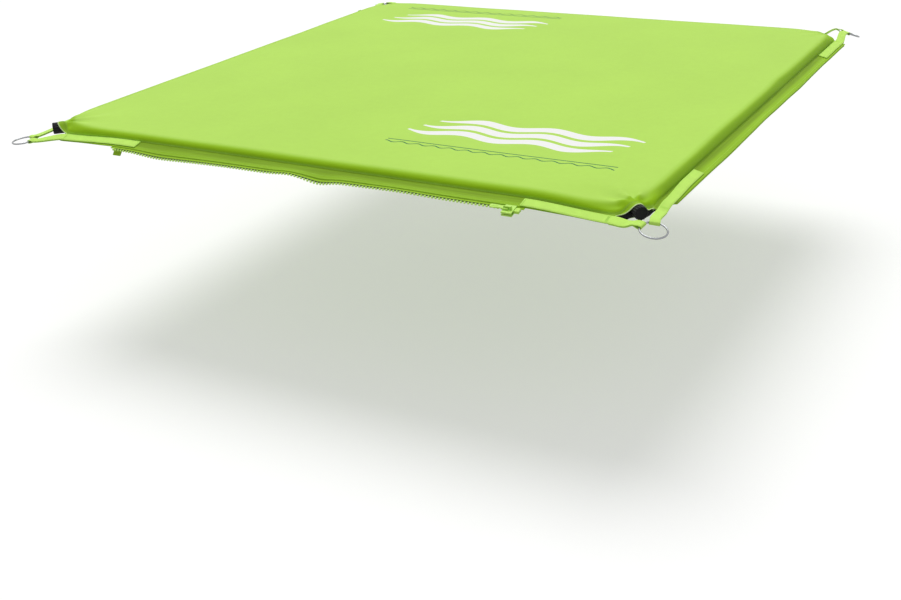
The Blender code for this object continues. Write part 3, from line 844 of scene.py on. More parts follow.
def flange_rows(sign):
    """Rows of one cloth's half of the flange, from its edge to the seam."""
    rows = []
    reach = FLANGE_REACH * (1.0 if sign > 0 else UNDER_FLANGE_SHARE)
    waves = by_side(flange_wave)
    bulge = valve_bulge(SEAM_PLACES, sign)
    hood = at_valves(lip_hood) * COLUMN_CUT * (sign > 0)
    for share in FLANGE_ROWS:
        past = reach * share + hood * ease(share, 0.0, 0.6)
        points = SEAM_PLACES + SEAM_WAYS * past[:, None]
        roof = roof_share(past) if sign > 0 else 1.0
        points[:, 2] = (SEAM + sign * SKIN - reach * share * tan(DROOP) + waves * share ** 1.5
                        + sign * bulge * roof * COLUMN_CUT - corner_sag(points))
        points[:, 2] -= (FLANGE_SAG * share + EDGE_TURN * (sign > 0) * (share == 1.0)) * ~COLUMN_CUT
        rows.append(points)
    return rows


def wall_inset(height, inset):
    """A side's inset, turned into a broad slope towards the corners."""
    slope = CORNER_ROLL * (1 - sqrt(max(0.0, 1 - min(height, 0.999) ** 2)))
    return inset * (1 - CORNER_NEAR) + slope * CORNER_NEAR + COLUMN_DENTS * height ** 1.5


# Size and pace of the edge's wander, and how much lower the top is at its edges and how near them it falls
WANDER, WANDER_PACE = 0.0009, 9
CROWN, CROWN_REACH = 0.038, 0.05


def edge_wander(points):
    """The rolled edge is not quite straight: small slow shifts, in metres."""
    return np.array([noise.noise(Vector((x * WANDER_PACE, y * WANDER_PACE, 0.3))) for x, y, _ in points]) * WANDER


# Height of the folds at a corner with a valve and at a plain one, and how far in they are highest
VALVE_FOLD, PLAIN_FOLD, FOLD_REACH = 0.0028, 0.0010, 0.019


def top_level(points):
    """Height of the top face: crowned, sagging at the corners, with folds that run in from each cut."""
    inward = np.maximum((HALF_WIDTH, HALF_DEPTH) - np.abs(points[:, :2]), 0)
    crown = np.prod(1 - np.exp(-inward / CROWN_REACH), axis=1)
    height = SEAM + (THICKNESS - SEAM) * (1 - CROWN * (1 - crown))
    height += np.array([noise.noise(Vector((x * 5.5, y * 5.5, 2.0))) * 0.0006
                        + noise.noise(Vector((x * 14, y * 14, 5.0))) * 0.00018 for x, y, _ in points])
    for name in CORNER_HANG:
        depth, aside = corner_coordinates(points, name)
        reach = np.hypot(depth, aside)
        angle = np.arctan2(aside, depth + 0.004)
        turns, lean = (9, 0.7) if name.endswith("right") else (8, -0.4)
        size = VALVE_FOLD if name in VALVE_CORNERS else PLAIN_FOLD
        folds = np.cos(turns * angle + lean) * (reach / FOLD_REACH) * np.exp(1 - reach / FOLD_REACH)
        height += size * folds * ease(depth, 0.0, 0.010)
    return height - corner_sag(points, True)


def inner_share(more):
    """How much of a notch or of the edge's wander is left this far in from the edge."""
    return max(0.0, 1 - more / 0.07)


def top_rows(deeper=0.0, notch=0.0):
    """Rows of the top face from the seam to the middle; deeper gives the foam just under it."""
    rows = []
    foot = SEAM + SKIN + valve_bulge(SEAM_PLACES) * roof_share(0.0) - corner_sag(SEAM_PLACES)
    for step, (height, inset, _) in enumerate(WALL):
        points = soften(column_places(wall_inset(height, inset) + deeper + notch)[0], 2 + step)
        points = points + SEAM_WAYS * (edge_wander(points) * height)[:, None]
        points[:, 2] = foot + (top_level(points) - deeper - foot) * height
        rows.append(points)
    for step, more in enumerate(INNER_STEPS):
        fade = inner_share(more)
        points = column_places(wall_inset(1.0, WALL[-1][1]) + more + deeper + notch * fade)[0]
        points = soften(points, 14 + 3 * step)
        points = points + SEAM_WAYS * (edge_wander(points) * fade)[:, None]
        points[:, 2] = top_level(points) - deeper
        rows.append(points)
    last = rows[-1]
    for scale in INNER_SCALES:
        points = last * (scale, scale, 1.0)
        points[:, 2] = top_level(points) - deeper
        rows.append(points)
    return rows


def under_rows(higher=0.0, notch=0.0):
    """Rows of the underside from the seam to the middle; higher gives the foam just over it."""
    rows = []
    roll = UNDER_ROLL + 0.006 * CORNER_NEAR
    foot = SEAM - SKIN - valve_bulge(SEAM_PLACES, -1) - corner_sag(SEAM_PLACES)
    for step, angle in enumerate(np.radians(UNDER_ANGLES)):
        points = soften(column_places(roll * (1 - cos(angle)) + higher + notch)[0], 2 + step)
        points[:, 2] = foot - (foot - higher) * sin(angle)
        rows.append(points)
    for step, more in enumerate(INNER_STEPS):
        points = soften(column_places(roll + more + higher + notch * inner_share(more))[0], 14 + 3 * step)
        points[:, 2] = higher
        rows.append(points)
    return rows + [rows[-1] * (scale, scale, 1.0) for scale in INNER_SCALES]


# How much less painted shade the flange has right at the seam, and the length round the pad
SEAM_LIFT = 0.35
EDGE_LENGTH = 4.7


def cover_zones(row_count):
    """For each point of a cover: its share of painted shade on the flange, on the wall and on the right side's
    wall.
    """
    right = ON_SIDE["right"]
    zones = np.zeros((row_count, len(COLUMN_SIDE), 3))
    # Painted shade on the flange: darkest part way out, less right at the seam and least at its edge; on the
    # right side its outer part stays light, and every flange row also takes most of the wall's painted shade
    for step, share in enumerate(FLANGE_ROWS):
        plain = 1 - 0.8 * ease(share, 0.35, 0.92) - SEAM_LIFT * (1 - ease(share, 0.05, 0.25))
        flange_shade = np.where(right, 0.92 - 0.87 * ease(share, 0.30, 0.60), plain)
        zones[step, :, 0] = np.where(COLUMN_CUT, 0.75 - 0.55 * ease(share, 0.10, 0.45), flange_shade)
        zones[step, :, 1] = 0.85
    # Painted shade up the wall, strongest part way up and fading towards the seam and into the rolled edge; the
    # right side's wall gets more of it
    for step, (height, _, tone) in enumerate(WALL, len(FLANGE_ROWS)):
        zones[step, :, 1] = tone * np.where(right, 1.0, 0.2 + 0.8 * ease(height, 0.02, 0.42))
        zones[step, :, 2] = tone ** 3 * right * (1 - CORNER_NEAR)
    return zones


def edge_places(row_count):
    """For each point of a cover: how far round the pad it is, and how far out on the flange."""
    places = np.zeros((row_count, len(COLUMN_SIDE), 3))
    places[:, :, 0] = np.linspace(0, 1, len(COLUMN_SIDE)) * EDGE_LENGTH
    places[:len(FLANGE_ROWS), :, 1] = np.array(FLANGE_ROWS)[:, None] * FLANGE
    return places


def cover_piece(name, sign, rows, finish, node_name):
    """One face of the cover as cut cloth of real thickness, with its half of the flange."""
    every = flange_rows(sign) + rows
    columns = len(COLUMN_SIDE)
    points = np.concatenate(every + [[rows[-1].mean(0)]])
    faces = grid_faces(len(every), columns)
    last = (len(every) - 1) * columns
    faces += [(last + i, last + (i + 1) % columns, len(points) - 1) for i in range(columns)]
    mesh = bpy.data.meshes.new(name)
    mesh.from_pydata(points.tolist(), [], faces)
    face_out(mesh)
    if mesh.polygons[-1].normal.z * sign < 0:
        mesh.flip_normals()
    for label, make in (("cover_zones", cover_zones), ("edge_place", edge_places)):
        store(mesh, label, np.append(make(len(every)).reshape(-1, 3), np.zeros((1, 3)), 0))
    store(mesh, "cloth_place", points)
    mesh.materials.append(finish)
    # The corner lips and the cloth's rims take the pale cut-edge colour: pale cut fabric at the lips, painted
    # light on the rims
    mesh.materials.append(CUT_EDGE_AND_PAINTED_LIGHT)
    for index in range((len(FLANGE_ROWS) // 2) * columns):
        if COLUMN_CUT[index % columns] and COLUMN_CUT[(index + 1) % columns]:
            mesh.polygons[index].material_index = 1
    mesh.shade_smooth()
    made = link(name, mesh)
    thick = made.modifiers.new("cloth", "SOLIDIFY")
    thick.thickness = CLOTH
    thick.offset = -1
    thick.material_offset_rim = 1
    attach(made, "mat")
    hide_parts(node_name)
    return made


def foam_notch(aside):
    """How far the foam is cut back round a valve."""
    return 0.017 * (1 - ease(np.abs(aside), 0.02, 0.06))


def foam_piece():
    """The foam core, a little inside both faces and cut back at the valves."""
    gap = CLOTH + 0.0009
    notch = at_valves(foam_notch)
    rows = under_rows(gap, notch)[::-1][:-1] + top_rows(gap, notch)[2:]
    points = np.concatenate(rows + [[rows[0].mean(0)], [rows[-1].mean(0)]])
    made = mesh_piece("foam_slab", points, tipped_faces(len(rows), len(COLUMN_SIDE)), FOAM_CELLS)
    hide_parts("foam_core")


# Straps and rings

def facing(way, reference):
    """A direction, turned round where it points away from a reference."""
    return way if way.dot(reference) >= 0 else -way


class Corner:
    """Where one corner's strap loops and ring sit, as in the solids."""

    def __init__(self, name):
        shift_x, shift_y, height, tilt = CORNER_HANG[name]
        x_sign, y_sign = corner_signs(name)
        edge_x = HALF_WIDTH + FLANGE * cos(DROOP) + shift_x
        edge_y = HALF_DEPTH + FLANGE * cos(DROOP) + shift_y
        signs = Vector((x_sign, y_sign, 1))
        self.end_loop = signs * Vector((edge_x - END_LOOP_BACK, edge_y + END_LOOP_OUT, height))
        self.side_loop = signs * Vector((edge_x + SIDE_LOOP_OUT, edge_y - SIDE_LOOP_BACK, height))
        chord = self.side_loop - self.end_loop
        flat = facing(Vector((-chord.y, chord.x, 0)).normalized(), Vector((x_sign, 0, 0)))
        self.out = flat * cos(tilt) - Z_WAY * sin(tilt)
        reach = sqrt(RING_RADIUS ** 2 - (chord.length / 2) ** 2)
        self.centre = (self.end_loop + self.side_loop) / 2 + self.out * reach
        self.normal = facing(chord.normalized().cross(self.out), Z_WAY)


RING_STEPS, WIRE_STEPS = 112, 18
WELD_RISE, WELD_WIDTH = 0.00022, 0.0011


def ring_piece(name, corner):
    """A bent and butt-welded steel ring."""
    centre, out, normal = np.array(corner.centre), np.array(corner.out), np.array(corner.normal)
    side = np.cross(normal, out)
    turns = np.linspace(0, 2 * pi, WIRE_STEPS, endpoint=False)
    rows = []
    for angle in np.linspace(0, 2 * pi, RING_STEPS, endpoint=False):
        spoke = out * cos(angle) + side * sin(angle)
        weld = WELD_RISE * np.exp(-(((angle - pi) * RING_RADIUS / WELD_WIDTH) ** 2))
        section = np.outer(np.cos(turns), spoke) + np.outer(np.sin(turns), normal)
        rows.append(centre + spoke * RING_RADIUS + section * (RING_WIRE / 2 + weld))
    faces = grid_faces(RING_STEPS, WIRE_STEPS, closed_rows=True)
    made = mesh_piece("ring_" + name + "_steel", np.concatenate(rows), faces, RING_STEEL,
                      "ring_" + name, 60)
    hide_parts("ring_" + name)


def curve_point(start, start_way, end, end_way, s):
    """Place and direction at share s of a curve that leaves and arrives along the two ways."""
    place = (start * (2 * s ** 3 - 3 * s ** 2 + 1) + start_way * (s ** 3 - 2 * s ** 2 + s)
             + end * (3 * s ** 2 - 2 * s ** 3) + end_way * (s ** 3 - s ** 2))
    way = (start * (6 * s ** 2 - 6 * s) + start_way * (3 * s ** 2 - 4 * s + 1)
           + end * (6 * s - 6 * s ** 2) + end_way * (3 * s ** 2 - 2 * s))
    return place, way.normalized()


def webbing_section(width, thick):
    """Points round a strap's section, as (across, through): flat faces and round edges."""
    flat = width / 2 - thick * 0.3
    half = [(x, thick / 2) for x in np.linspace(-flat, flat, 7)]
    half += [(width / 2 - thick * 0.15 * abs(z), thick * 0.56 * z) for z in (0.5, 0.0, -0.5)]
    return half + [(-x, -z) for x, z in half]


STRAP_LAYER = (STRAP + CLEARANCE) / 2
SEWN_STATIONS = 48
NECK_STEPS = 16
TURN_STEPS = 12


def strap_neck(leave, forward, corner, loop, side, sign, wide):
    """Frames of a strap from its flange to just before its ring, and the ways inward and across there."""
    out_axis, lift_axis = (Vector(v) for v in flange_axes(side)[1:])
    inward = (corner.centre - loop).normalized()
    across = facing(corner.normal.cross(inward), out_axis)
    neck = loop - inward * LOOP_NECK
    start = leave - lift_axis * STRAP_LAYER
    pull = LOOSE_BENDS.get((side, sign), BEND_SHARE) * (neck - start).length
    dip = LOOSE_DIPS.get((side, sign), 0.0)
    frames = []
    for step in range(NECK_STEPS + 1):
        share = step / NECK_STEPS
        place, way = curve_point(start, forward * pull, neck, inward * pull, share)
        place = place - Z_WAY * (dip * sin(pi * share ** 1.4) ** 2)
        side_way = out_axis.lerp(across, share)
        side_way = (side_way - way * side_way.dot(way)).normalized()
        through = facing(way.cross(side_way), Z_WAY)
        frames.append((place, side_way, through, wide + (LOOP_WIDTH - wide) * share))
    return frames, inward, across


def strap_stations(side, sign, corner, loop):
    """(centre, across, through, width) along a strap, from its sewn end to its tail."""
    lift = FLANGE_FACE + CLEARANCE + STRAP / 2
    half_along = SIDES[side][3]
    exit_along = half_along - CORNER_CUT + STRAP_EXIT_PAST

    def sewn(along, out):
        return Vector(on_flange(side, sign * along, out, lift))

    stations = []
    for along in np.linspace(half_along - strap_run(side, sign), exit_along, SEWN_STATIONS)[:-1]:
        near, far = strap_span(side, sign, along)
        out = (near + far) / 2
        centre = sewn(along, out)
        across = (centre - sewn(along, near)).normalized()
        through = facing(across.cross((sewn(along + 0.001, out) - centre).normalized()), Z_WAY)
        stations.append((centre, across, through, far - near))
    near, far = strap_span(side, sign, exit_along)
    leave = sewn(exit_along, (near + far) / 2)
    forward = (leave - sewn(exit_along - 0.006, (near + far) / 2)).normalized()
    frames, inward, across = strap_neck(leave, forward, corner, loop, side, sign, far - near)
    stations += [(place + through * STRAP_LAYER, side_way, through, width)
                 for place, side_way, through, width in frames]
    wire_room = RING_WIRE / 2 + LOOP_GAP + STRAP / 2
    bend = loop + inward * (RING_RADIUS - sqrt(RING_RADIUS ** 2 - (LOOP_WIDTH / 2) ** 2))
    turn_start = loop - inward * (RING_WIRE / 2)
    stations.append((turn_start + corner.normal * wire_room, across, corner.normal, LOOP_WIDTH))
    for step in range(TURN_STEPS + 1):
        angle = pi / 2 - pi * step / TURN_STEPS
        ray = inward * cos(angle) + corner.normal * sin(angle)
        stations.append((bend + ray * wire_room, across, ray, LOOP_WIDTH))
    stations.append((turn_start - corner.normal * wire_room, across, -corner.normal, LOOP_WIDTH))
    stations += [(place - through * STRAP_LAYER, side_way, -through, width)
                 for place, side_way, through, width in frames[:0:-1]]
    place, side_way, through, width = frames[0]
    way = (frames[1][0] - place).normalized()
    stations.append((place + way * STRAP_RETURN_GAP * 0.4 - through * STRAP_LAYER, side_way, -through, width))
    return stations, leave


def strap_piece(name, side, sign, corner, loop):
    stations, leave = strap_stations(side, sign, corner, loop)
    rows, places = [], []
    travelled = 0.0
    for index, (centre, across, through, width) in enumerate(stations):
        if index:
            travelled += (centre - stations[index - 1][0]).length
        section = webbing_section(width, STRAP)
        rows.append([centre + across * x + through * z for x, z in section])
        places += [(travelled, x * STRAP_WIDTH / width, z) for x, z in section]
    made = tube_piece(name, rows, WEBBING, body=None, sharp=70)
    store(made.data, "cloth_place", places)
    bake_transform(made)
    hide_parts(name.replace("_webbing", ""))


# Stitches

def stitch_parts():
    """One short stitch along x, sunk at its ends, as points and faces."""
    rings = ((-0.5, 0.25, -0.5), (-0.38, 0.8, 0.1), (0.0, 1.0, 0.35), (0.38, 0.8, 0.1), (0.5, 0.25, -0.5))
    angles = np.linspace(0, 2 * pi, 6, endpoint=False)
    rows = [ring_points(x, size * 0.5, angles) + (0, 0, height * 0.5) for x, size, height in rings]
    return np.concatenate(rows), tube_faces(len(rings), len(angles))


STITCH_POINTS, STITCH_FACES = stitch_parts()
STITCH_PITCH = 0.0034
STITCH_LENGTH = STITCH_PITCH * 0.72
CROSS_STITCH_LENGTH = 0.0020
THREAD_THICK = 0.00055
TAPE_SEAMS = (0.0172, 0.0232)
STRAP_SEAM_INSET = 0.0022
CROSS_STITCH_PITCH = 0.0011
CROSS_STITCH_LEAN = 0.25


def stitch_row(places, ways, lift_axis, length=STITCH_LENGTH):
    """Copies of the stitch at places, along ways, standing up from the flange."""
    ways = np.broadcast_to(ways, places.shape)
    sides = np.cross(lift_axis, ways)
    x, y, z = STITCH_POINTS.T[:, None, :, None]
    return (places[:, None] + ways[:, None] * x * length
            + (sides[:, None] * y + lift_axis * z) * THREAD_THICK)


def stitches_piece(name, rows):
    places = np.concatenate(rows)
    faces = copied_faces(STITCH_FACES, len(STITCH_POINTS), len(places))
    made = mesh_piece(name, places.reshape(-1, 3), faces, THREAD, sharp=80)
    store(made.data, "cloth_place", np.tile(STITCH_POINTS * 0.003, (len(places), 1)))


def flange_stitches(side):
    """Two sewn lines that hold the zip tape under the flange, and the lines along the straps."""
    tangent, out_axis, lift_axis = flange_axes(side)
    half_along = SIDES[side][3]
    reach = zip_half(side) + ZIP_TAIL - 0.003
    first = strap_run(side, -1) - half_along + 0.001
    last = half_along - strap_run(side, 1) - 0.001
    rows = []
    for out in TAPE_SEAMS:
        along = np.arange(-reach, reach, STITCH_PITCH)
        along = along[(along > first) & (along < last)]
        places = on_flange(side, along, out, FLANGE_FACE - FLANGE_SAG * out / FLANGE)
        rows.append(stitch_row(places, tangent, lift_axis))
    exit_along = half_along - CORNER_CUT
    strap_top = FLANGE_FACE + CLEARANCE + STRAP
    for sign in (-1, 1):
        strap_start = half_along - strap_run(side, sign)
        along = np.arange(strap_start + 0.002, exit_along - 0.001, STITCH_PITCH)
        inner, outer = strap_span(side, sign, along)
        for out in (inner + STRAP_SEAM_INSET, outer - STRAP_SEAM_INSET):
            rows.append(stitch_row(on_flange(side, sign * along, out, strap_top), tangent, lift_axis))
        for near in (strap_start + 0.0025, exit_along - 0.004, exit_along - 0.0062):
            inner, outer = strap_span(side, sign, near)
            outs = np.arange(inner + 0.0026, outer - 0.0018, CROSS_STITCH_PITCH)
            lean = CROSS_STITCH_LEAN * (-1) ** (np.arange(len(outs)) + 1)
            ways = tangent + out_axis * lean[:, None]
            ways /= np.linalg.norm(ways, axis=1)[:, None]
            rows.append(stitch_row(on_flange(side, sign * near, outs, strap_top), ways, lift_axis,
                                   CROSS_STITCH_LENGTH))
    stitches_piece("stitches_" + side, rows)


# Zip halves

def tape_edge(side):
    return FLANGE + (RIGHT_TAPE_SHOW if side == "right" else TAPE_SHOW)


def tooth_row(side):
    """How many teeth a side has, and how far from its middle they end."""
    count = int(2 * zip_half(side) / TOOTH_PITCH + 1e-6)
    return count, count * TOOTH_PITCH / 2


def on_zip(side, along, outs, lifts):
    """A section across a side's zip half."""
    return on_flange(side, along, *curled(side, along, outs, lifts))


def tape_piece(side):
    """A woven tape whose outer edge swells into the cord that carries the teeth."""
    reach = zip_half(side) + ZIP_TAIL
    edge = tape_edge(side)
    near = -reach + (0.010 if side == "right" else 0.0)
    inner = FLANGE - TAPE_UNDER
    upper = [(inner, 0.5)] + [(out, 0.5) for out in np.linspace(inner + 0.002, edge - 0.0016, 5)]
    upper += [(edge - 0.0011, 0.95), (edge - 0.0004, 0.8)]
    outline = np.array(upper + [(edge, 0.0)] + [(out, -z) for out, z in upper[::-1]])
    outs, lifts = outline[:, 0], TAPE_CENTRE + outline[:, 1] * TAPE
    along = np.linspace(near, reach, ZIP_ROWS)
    rows = [on_zip(side, a, outs, lifts) for a in along]
    made = tube_piece("zip_" + side + "_tape_cloth", rows, TAPE_CLOTH, sharp=60)
    store(made.data, "cloth_place", [(a, out, z * TAPE) for a in along for out, z in outline])
    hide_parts("zip_" + side + "_tape")


# A tooth from above, its left half: place along the row and how far out
TOOTH_LEFT = ((-0.00120, 0.0), (-0.00125, 0.0013), (-0.00085, 0.0019), (-0.00090, 0.0027), (-0.00165, 0.0034),
              (-0.00165, 0.0043), (-0.00115, 0.0050))
TOOTH_OUTLINE = TOOTH_LEFT + tuple((-along, out) for along, out in TOOTH_LEFT[::-1])
TOOTH_MIDDLE = 0.0026

# Layers of a tooth: height as a share of its thickness, and size
TOOTH_LAYERS = ((-0.5, 0.78), (-0.36, 1.0), (0.36, 1.0), (0.5, 0.78))

# Section of the bead that joins the teeth: how far out, and height as a share of the thickness
BEAD = ((0.0, -0.34), (0.0, 0.34), (0.0007, 0.42), (0.0014, 0.30), (0.0014, -0.30), (0.0007, -0.42))
ZIP_ROWS = 241

# Section of a moulded block as shares of its width and thickness, and its rows: share of the length and size
BLOCK_OUTLINE = ((0.0, 0.35), (0.06, 0.5), (0.94, 0.5), (1.0, 0.35),
                 (1.0, -0.35), (0.94, -0.5), (0.06, -0.5), (0.0, -0.35))
BLOCK_ROWS = ((0.0, 0.85), (0.03, 0.97), (0.08, 1.0), (0.35, 1.0), (0.65, 1.0), (0.92, 1.0),
              (0.97, 0.97), (1.0, 0.85))


def teeth_piece(side):
    """One moulded tooth after another along the tape, on a common bead."""
    count, end = tooth_row(side)
    back = tape_edge(side) + CLEARANCE
    local = np.array([(a * size, TOOTH_MIDDLE + (out - TOOTH_MIDDLE) * size, height * TOOTH_THICKNESS)
                      for height, size in TOOTH_LAYERS for a, out in TOOTH_OUTLINE])
    middles = ((np.arange(count) + 0.5) * TOOTH_PITCH - end)[:, None]
    outs, lifts = curled(side, middles, back + local[None, :, 1], TAPE_CENTRE + local[None, :, 2])
    teeth = on_flange(side, middles + local[None, :, 0], outs, lifts).reshape(-1, 3)
    faces = copied_faces(tube_faces(len(TOOTH_LAYERS), len(TOOTH_OUTLINE)), len(local), count)
    outs, lifts = np.array(BEAD).T * np.array((1.0, TOOTH_THICKNESS))[:, None]
    bead = [on_zip(side, a, back + outs, TAPE_CENTRE + lifts) for a in np.linspace(-end, end, ZIP_ROWS)]
    faces += tube_faces(ZIP_ROWS, len(BEAD), start=len(teeth))
    made = mesh_piece("zip_" + side + "_teeth_moulded", np.concatenate([teeth, *bead]), faces,
                      TOOTH_ROW_PLASTIC, sharp=35)
    # 0 at the roots of the teeth, where painted shade goes, and 1 at their tips
    tips = np.tile(np.clip((local[:, 1] - 0.0010) / 0.0026, 0, 1), count)
    store(made.data, "tooth_tip", np.append(tips, np.zeros(ZIP_ROWS * len(BEAD))))
    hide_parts("zip_" + side + "_teeth")


def block_piece(name, side, sign, size):
    """A moulded block on the tape edge past the last tooth, where the solids have it."""
    length, width, thickness = size
    near = tooth_row(side)[1] + CLEARANCE
    middle = tape_edge(side) + CLEARANCE + width / 2
    across, through = np.array(BLOCK_OUTLINE).T
    rows = [on_zip(side, sign * (near + length * share), middle + width * (across - 0.5) * swell,
                   TAPE_CENTRE + through * thickness * swell) for share, swell in BLOCK_ROWS]
    made = tube_piece(name + "_moulded", rows, TOOTH_PLASTIC, sharp=50)
    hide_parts(name)


def zip_tab():
    """The free end of the front tape, folded down below the flange at the left."""
    first, last, drop, thick = -0.4215, -0.4035, 0.0150, 0.0022
    middle = (first + last) / 2 + 0.0055
    outline = ((-0.5, -0.5), (-0.5, 0.5), (0.5, 0.5), (0.5, -0.5))
    _, start_y, start_z = on_flange("front", first, FLANGE - 0.0025, TAPE_CENTRE - 0.0012)
    rows = []
    for share in np.linspace(0, 1, 9):
        centre = (middle - 0.0065 * share, start_y - 0.0035 * share, start_z - drop * share)
        swell = 1 + 0.25 * sin(pi * share)
        rows.append([np.add(centre, (a * (last - first), t * thick * swell, 0.0)) for a, t in outline])
    made = tube_piece("zip_front_tape_tab", rows, TAPE_CLOTH, sharp=50)
    store(made.data, "cloth_place", [(x, z, y) for row in rows for x, y, z in row])
    fillet = made.modifiers.new("fold", "BEVEL")
    fillet.width = 0.0006
    fillet.segments = 3
    fillet.limit_method = "ANGLE"


# Sliders

# A pull from above, its upper half: place along it and share of its half width
PULL_HALF = ((-0.0011, 0.62), (0.0004, 0.92), (0.0040, 1.0), (0.0090, 0.92), (0.0115, 0.72), (0.0145, 0.78),
             (0.0190, 0.95), (0.0270, 1.0), (0.0302, 0.9), (0.0316, 0.66), (0.0320, 0.34))
PULL_HALF_WIDTH = 0.0045
PULL_THICK = 0.0018
PULL_LINE = [(x, y * PULL_HALF_WIDTH) for x, y in PULL_HALF]
PULL_LINE += [(x, -y) for x, y in PULL_LINE[::-1]]
PULL_WINDOW = ((0.0011, 0.0021), (0.0011, -0.0021), (0.0089, -0.0021), (0.0089, 0.0021))
GRIP_PLACES = np.arange(0.0180, 0.0280, 0.0016)
GRIP_WIDTH = 0.0058
GRIP_RADIUS = 0.00032
GRIP_END_RADIUS = 0.00015
GRIP_ROWS, GRIP_TURNS = 5, 8


def slider_axes(side, sign):
    tangent, _, lift_axis = (Vector(v) for v in flange_axes(side))
    travel = tangent * -sign
    return travel, lift_axis.cross(travel), lift_axis


def rounded_edges(made, width):
    bevel = made.modifiers.new("rounded_edges", "BEVEL")
    bevel.width = width
    bevel.segments = 3
    bevel.limit_method = "ANGLE"
    bevel.angle_limit = radians(40)
    made.data.shade_smooth()
    made.data.set_sharp_from_angle(angle=radians(60))


def keep_solid(node_name, finish, edge):
    """A carried-over solid with its finish and softly rounded edges."""
    made = frame["nodes"][node_name]
    made.data.materials.clear()
    made.data.materials.append(finish)
    rounded_edges(made, edge)


def pull_object(side, sign):
    """A moulded pull: an eye round the bridge, a waist and a gripped tab."""
    travel, cross, lift = slider_axes(side, sign)
    joint = next(j for j in frame["joints"] if j["name"] == "pull_" + side + "_flip")
    hinge = Vector(joint["pos_m"])
    build = bmesh.new()
    loops = [[build.verts.new((x, y, -PULL_THICK / 2)) for x, y in line] for line in (PULL_LINE, PULL_WINDOW)]
    edges = [build.edges.new(pair) for loop in loops for pair in zip(loop, loop[1:] + loop[:1])]
    bmesh.ops.triangle_fill(build, use_beauty=True, use_dissolve=False, edges=edges)
    whole = bmesh.ops.extrude_face_region(build, geom=list(build.faces))
    raised = [v for v in whole["geom"] if isinstance(v, bmesh.types.BMVert)]
    bmesh.ops.translate(build, verts=raised, vec=(0, 0, PULL_THICK))
    bmesh.ops.recalc_face_normals(build, faces=build.faces)
    mesh = bpy.data.meshes.new("slider_" + side + "_pull_moulded")
    build.to_mesh(mesh)
    build.free()
    matrix = Matrix((travel, cross, lift)).transposed().to_4x4()
    mesh.transform(Matrix.Translation(hinge) @ matrix)
    mesh.materials.append(SLIDER_PLASTIC)
    made = link("slider_" + side + "_pull_moulded", mesh)
    rounded_edges(made, 0.0004)
    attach(made, "pull_" + side)
    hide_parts("slider_" + side + "_pull")
    rows = []
    turns = np.linspace(0, 2 * pi, GRIP_TURNS, endpoint=False)
    for x in GRIP_PLACES:
        for face in (1, -1):
            middle = hinge + travel * x + lift * (face * PULL_THICK / 2)
            for share in np.linspace(-0.5, 0.5, GRIP_ROWS):
                size = GRIP_RADIUS if abs(share) < 0.5 else GRIP_END_RADIUS
                centre = middle + cross * (share * GRIP_WIDTH)
                rows.append([centre + travel * (size * 1.4 * cos(t)) + lift * (size * sin(t)) for t in turns])
    faces = copied_faces(tube_faces(GRIP_ROWS, GRIP_TURNS), GRIP_ROWS * GRIP_TURNS, len(rows) // GRIP_ROWS)
    mesh_piece("slider_" + side + "_pull_grips", np.array(rows, float).reshape(-1, 3), faces, SLIDER_PLASTIC,
               "pull_" + side, 60)


# Valves

def valve_matrix(name):
    """From a valve's own frame, with x outward along its stem, to the mat's."""
    middle, out = corner_middle(name)
    x_axis = Vector(out)
    matrix = Matrix((x_axis, Z_WAY.cross(x_axis), Z_WAY)).transposed().to_4x4()
    return Matrix.Translation(Vector(middle)) @ matrix


STEM_RADIUS, STEM_BORE, STEM_LOW, STEM_HIGH = 0.0069, 0.0045, -0.0138, 0.0197
THREAD_START, THREAD_PITCH, THREAD_DEPTH = 0.0062, 0.003, 0.0006


def threaded_stem(name, matrix):
    """The hollow stem with its screw thread."""
    angles = np.linspace(0, 2 * pi, 64, endpoint=False)
    rows = []
    for x in np.linspace(STEM_LOW, STEM_HIGH, 120):
        reach = STEM_RADIUS
        if x > THREAD_START:
            phase = (x / THREAD_PITCH - angles / (2 * pi)) % 1
            ridge = np.clip(1 - np.abs(phase - 0.5) / 0.28, 0, 1)
            fade = max(min(1.0, (x - THREAD_START) / 0.001, (STEM_HIGH - x) / 0.001), 0)
            reach = STEM_RADIUS - THREAD_DEPTH * (1 - ridge * fade)
        rows.append(ring_points(x, reach, angles))
    rows += [ring_points(x, STEM_BORE, angles) for x in np.linspace(STEM_HIGH, STEM_LOW, 12)]
    faces = grid_faces(len(rows), len(angles), closed_rows=True)
    made = mesh_piece("valve_" + name + "_stem", placed(np.concatenate(rows), matrix), faces, VALVE_PLASTIC,
                      sharp=50)
    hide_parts("valve_" + name + "_body")


FIN_HALF, FIN_FRONT, FIN_REAR, FIN_ROWS = 0.0310, 0.0052, -0.0120, 25
FIN_SIDE_SWELL = {"front_left": 1.0, "front_right": 1.16}
FIN_RIB, FIN_RIB_END, FIN_THIN = 0.0003, 0.001, 0.0002


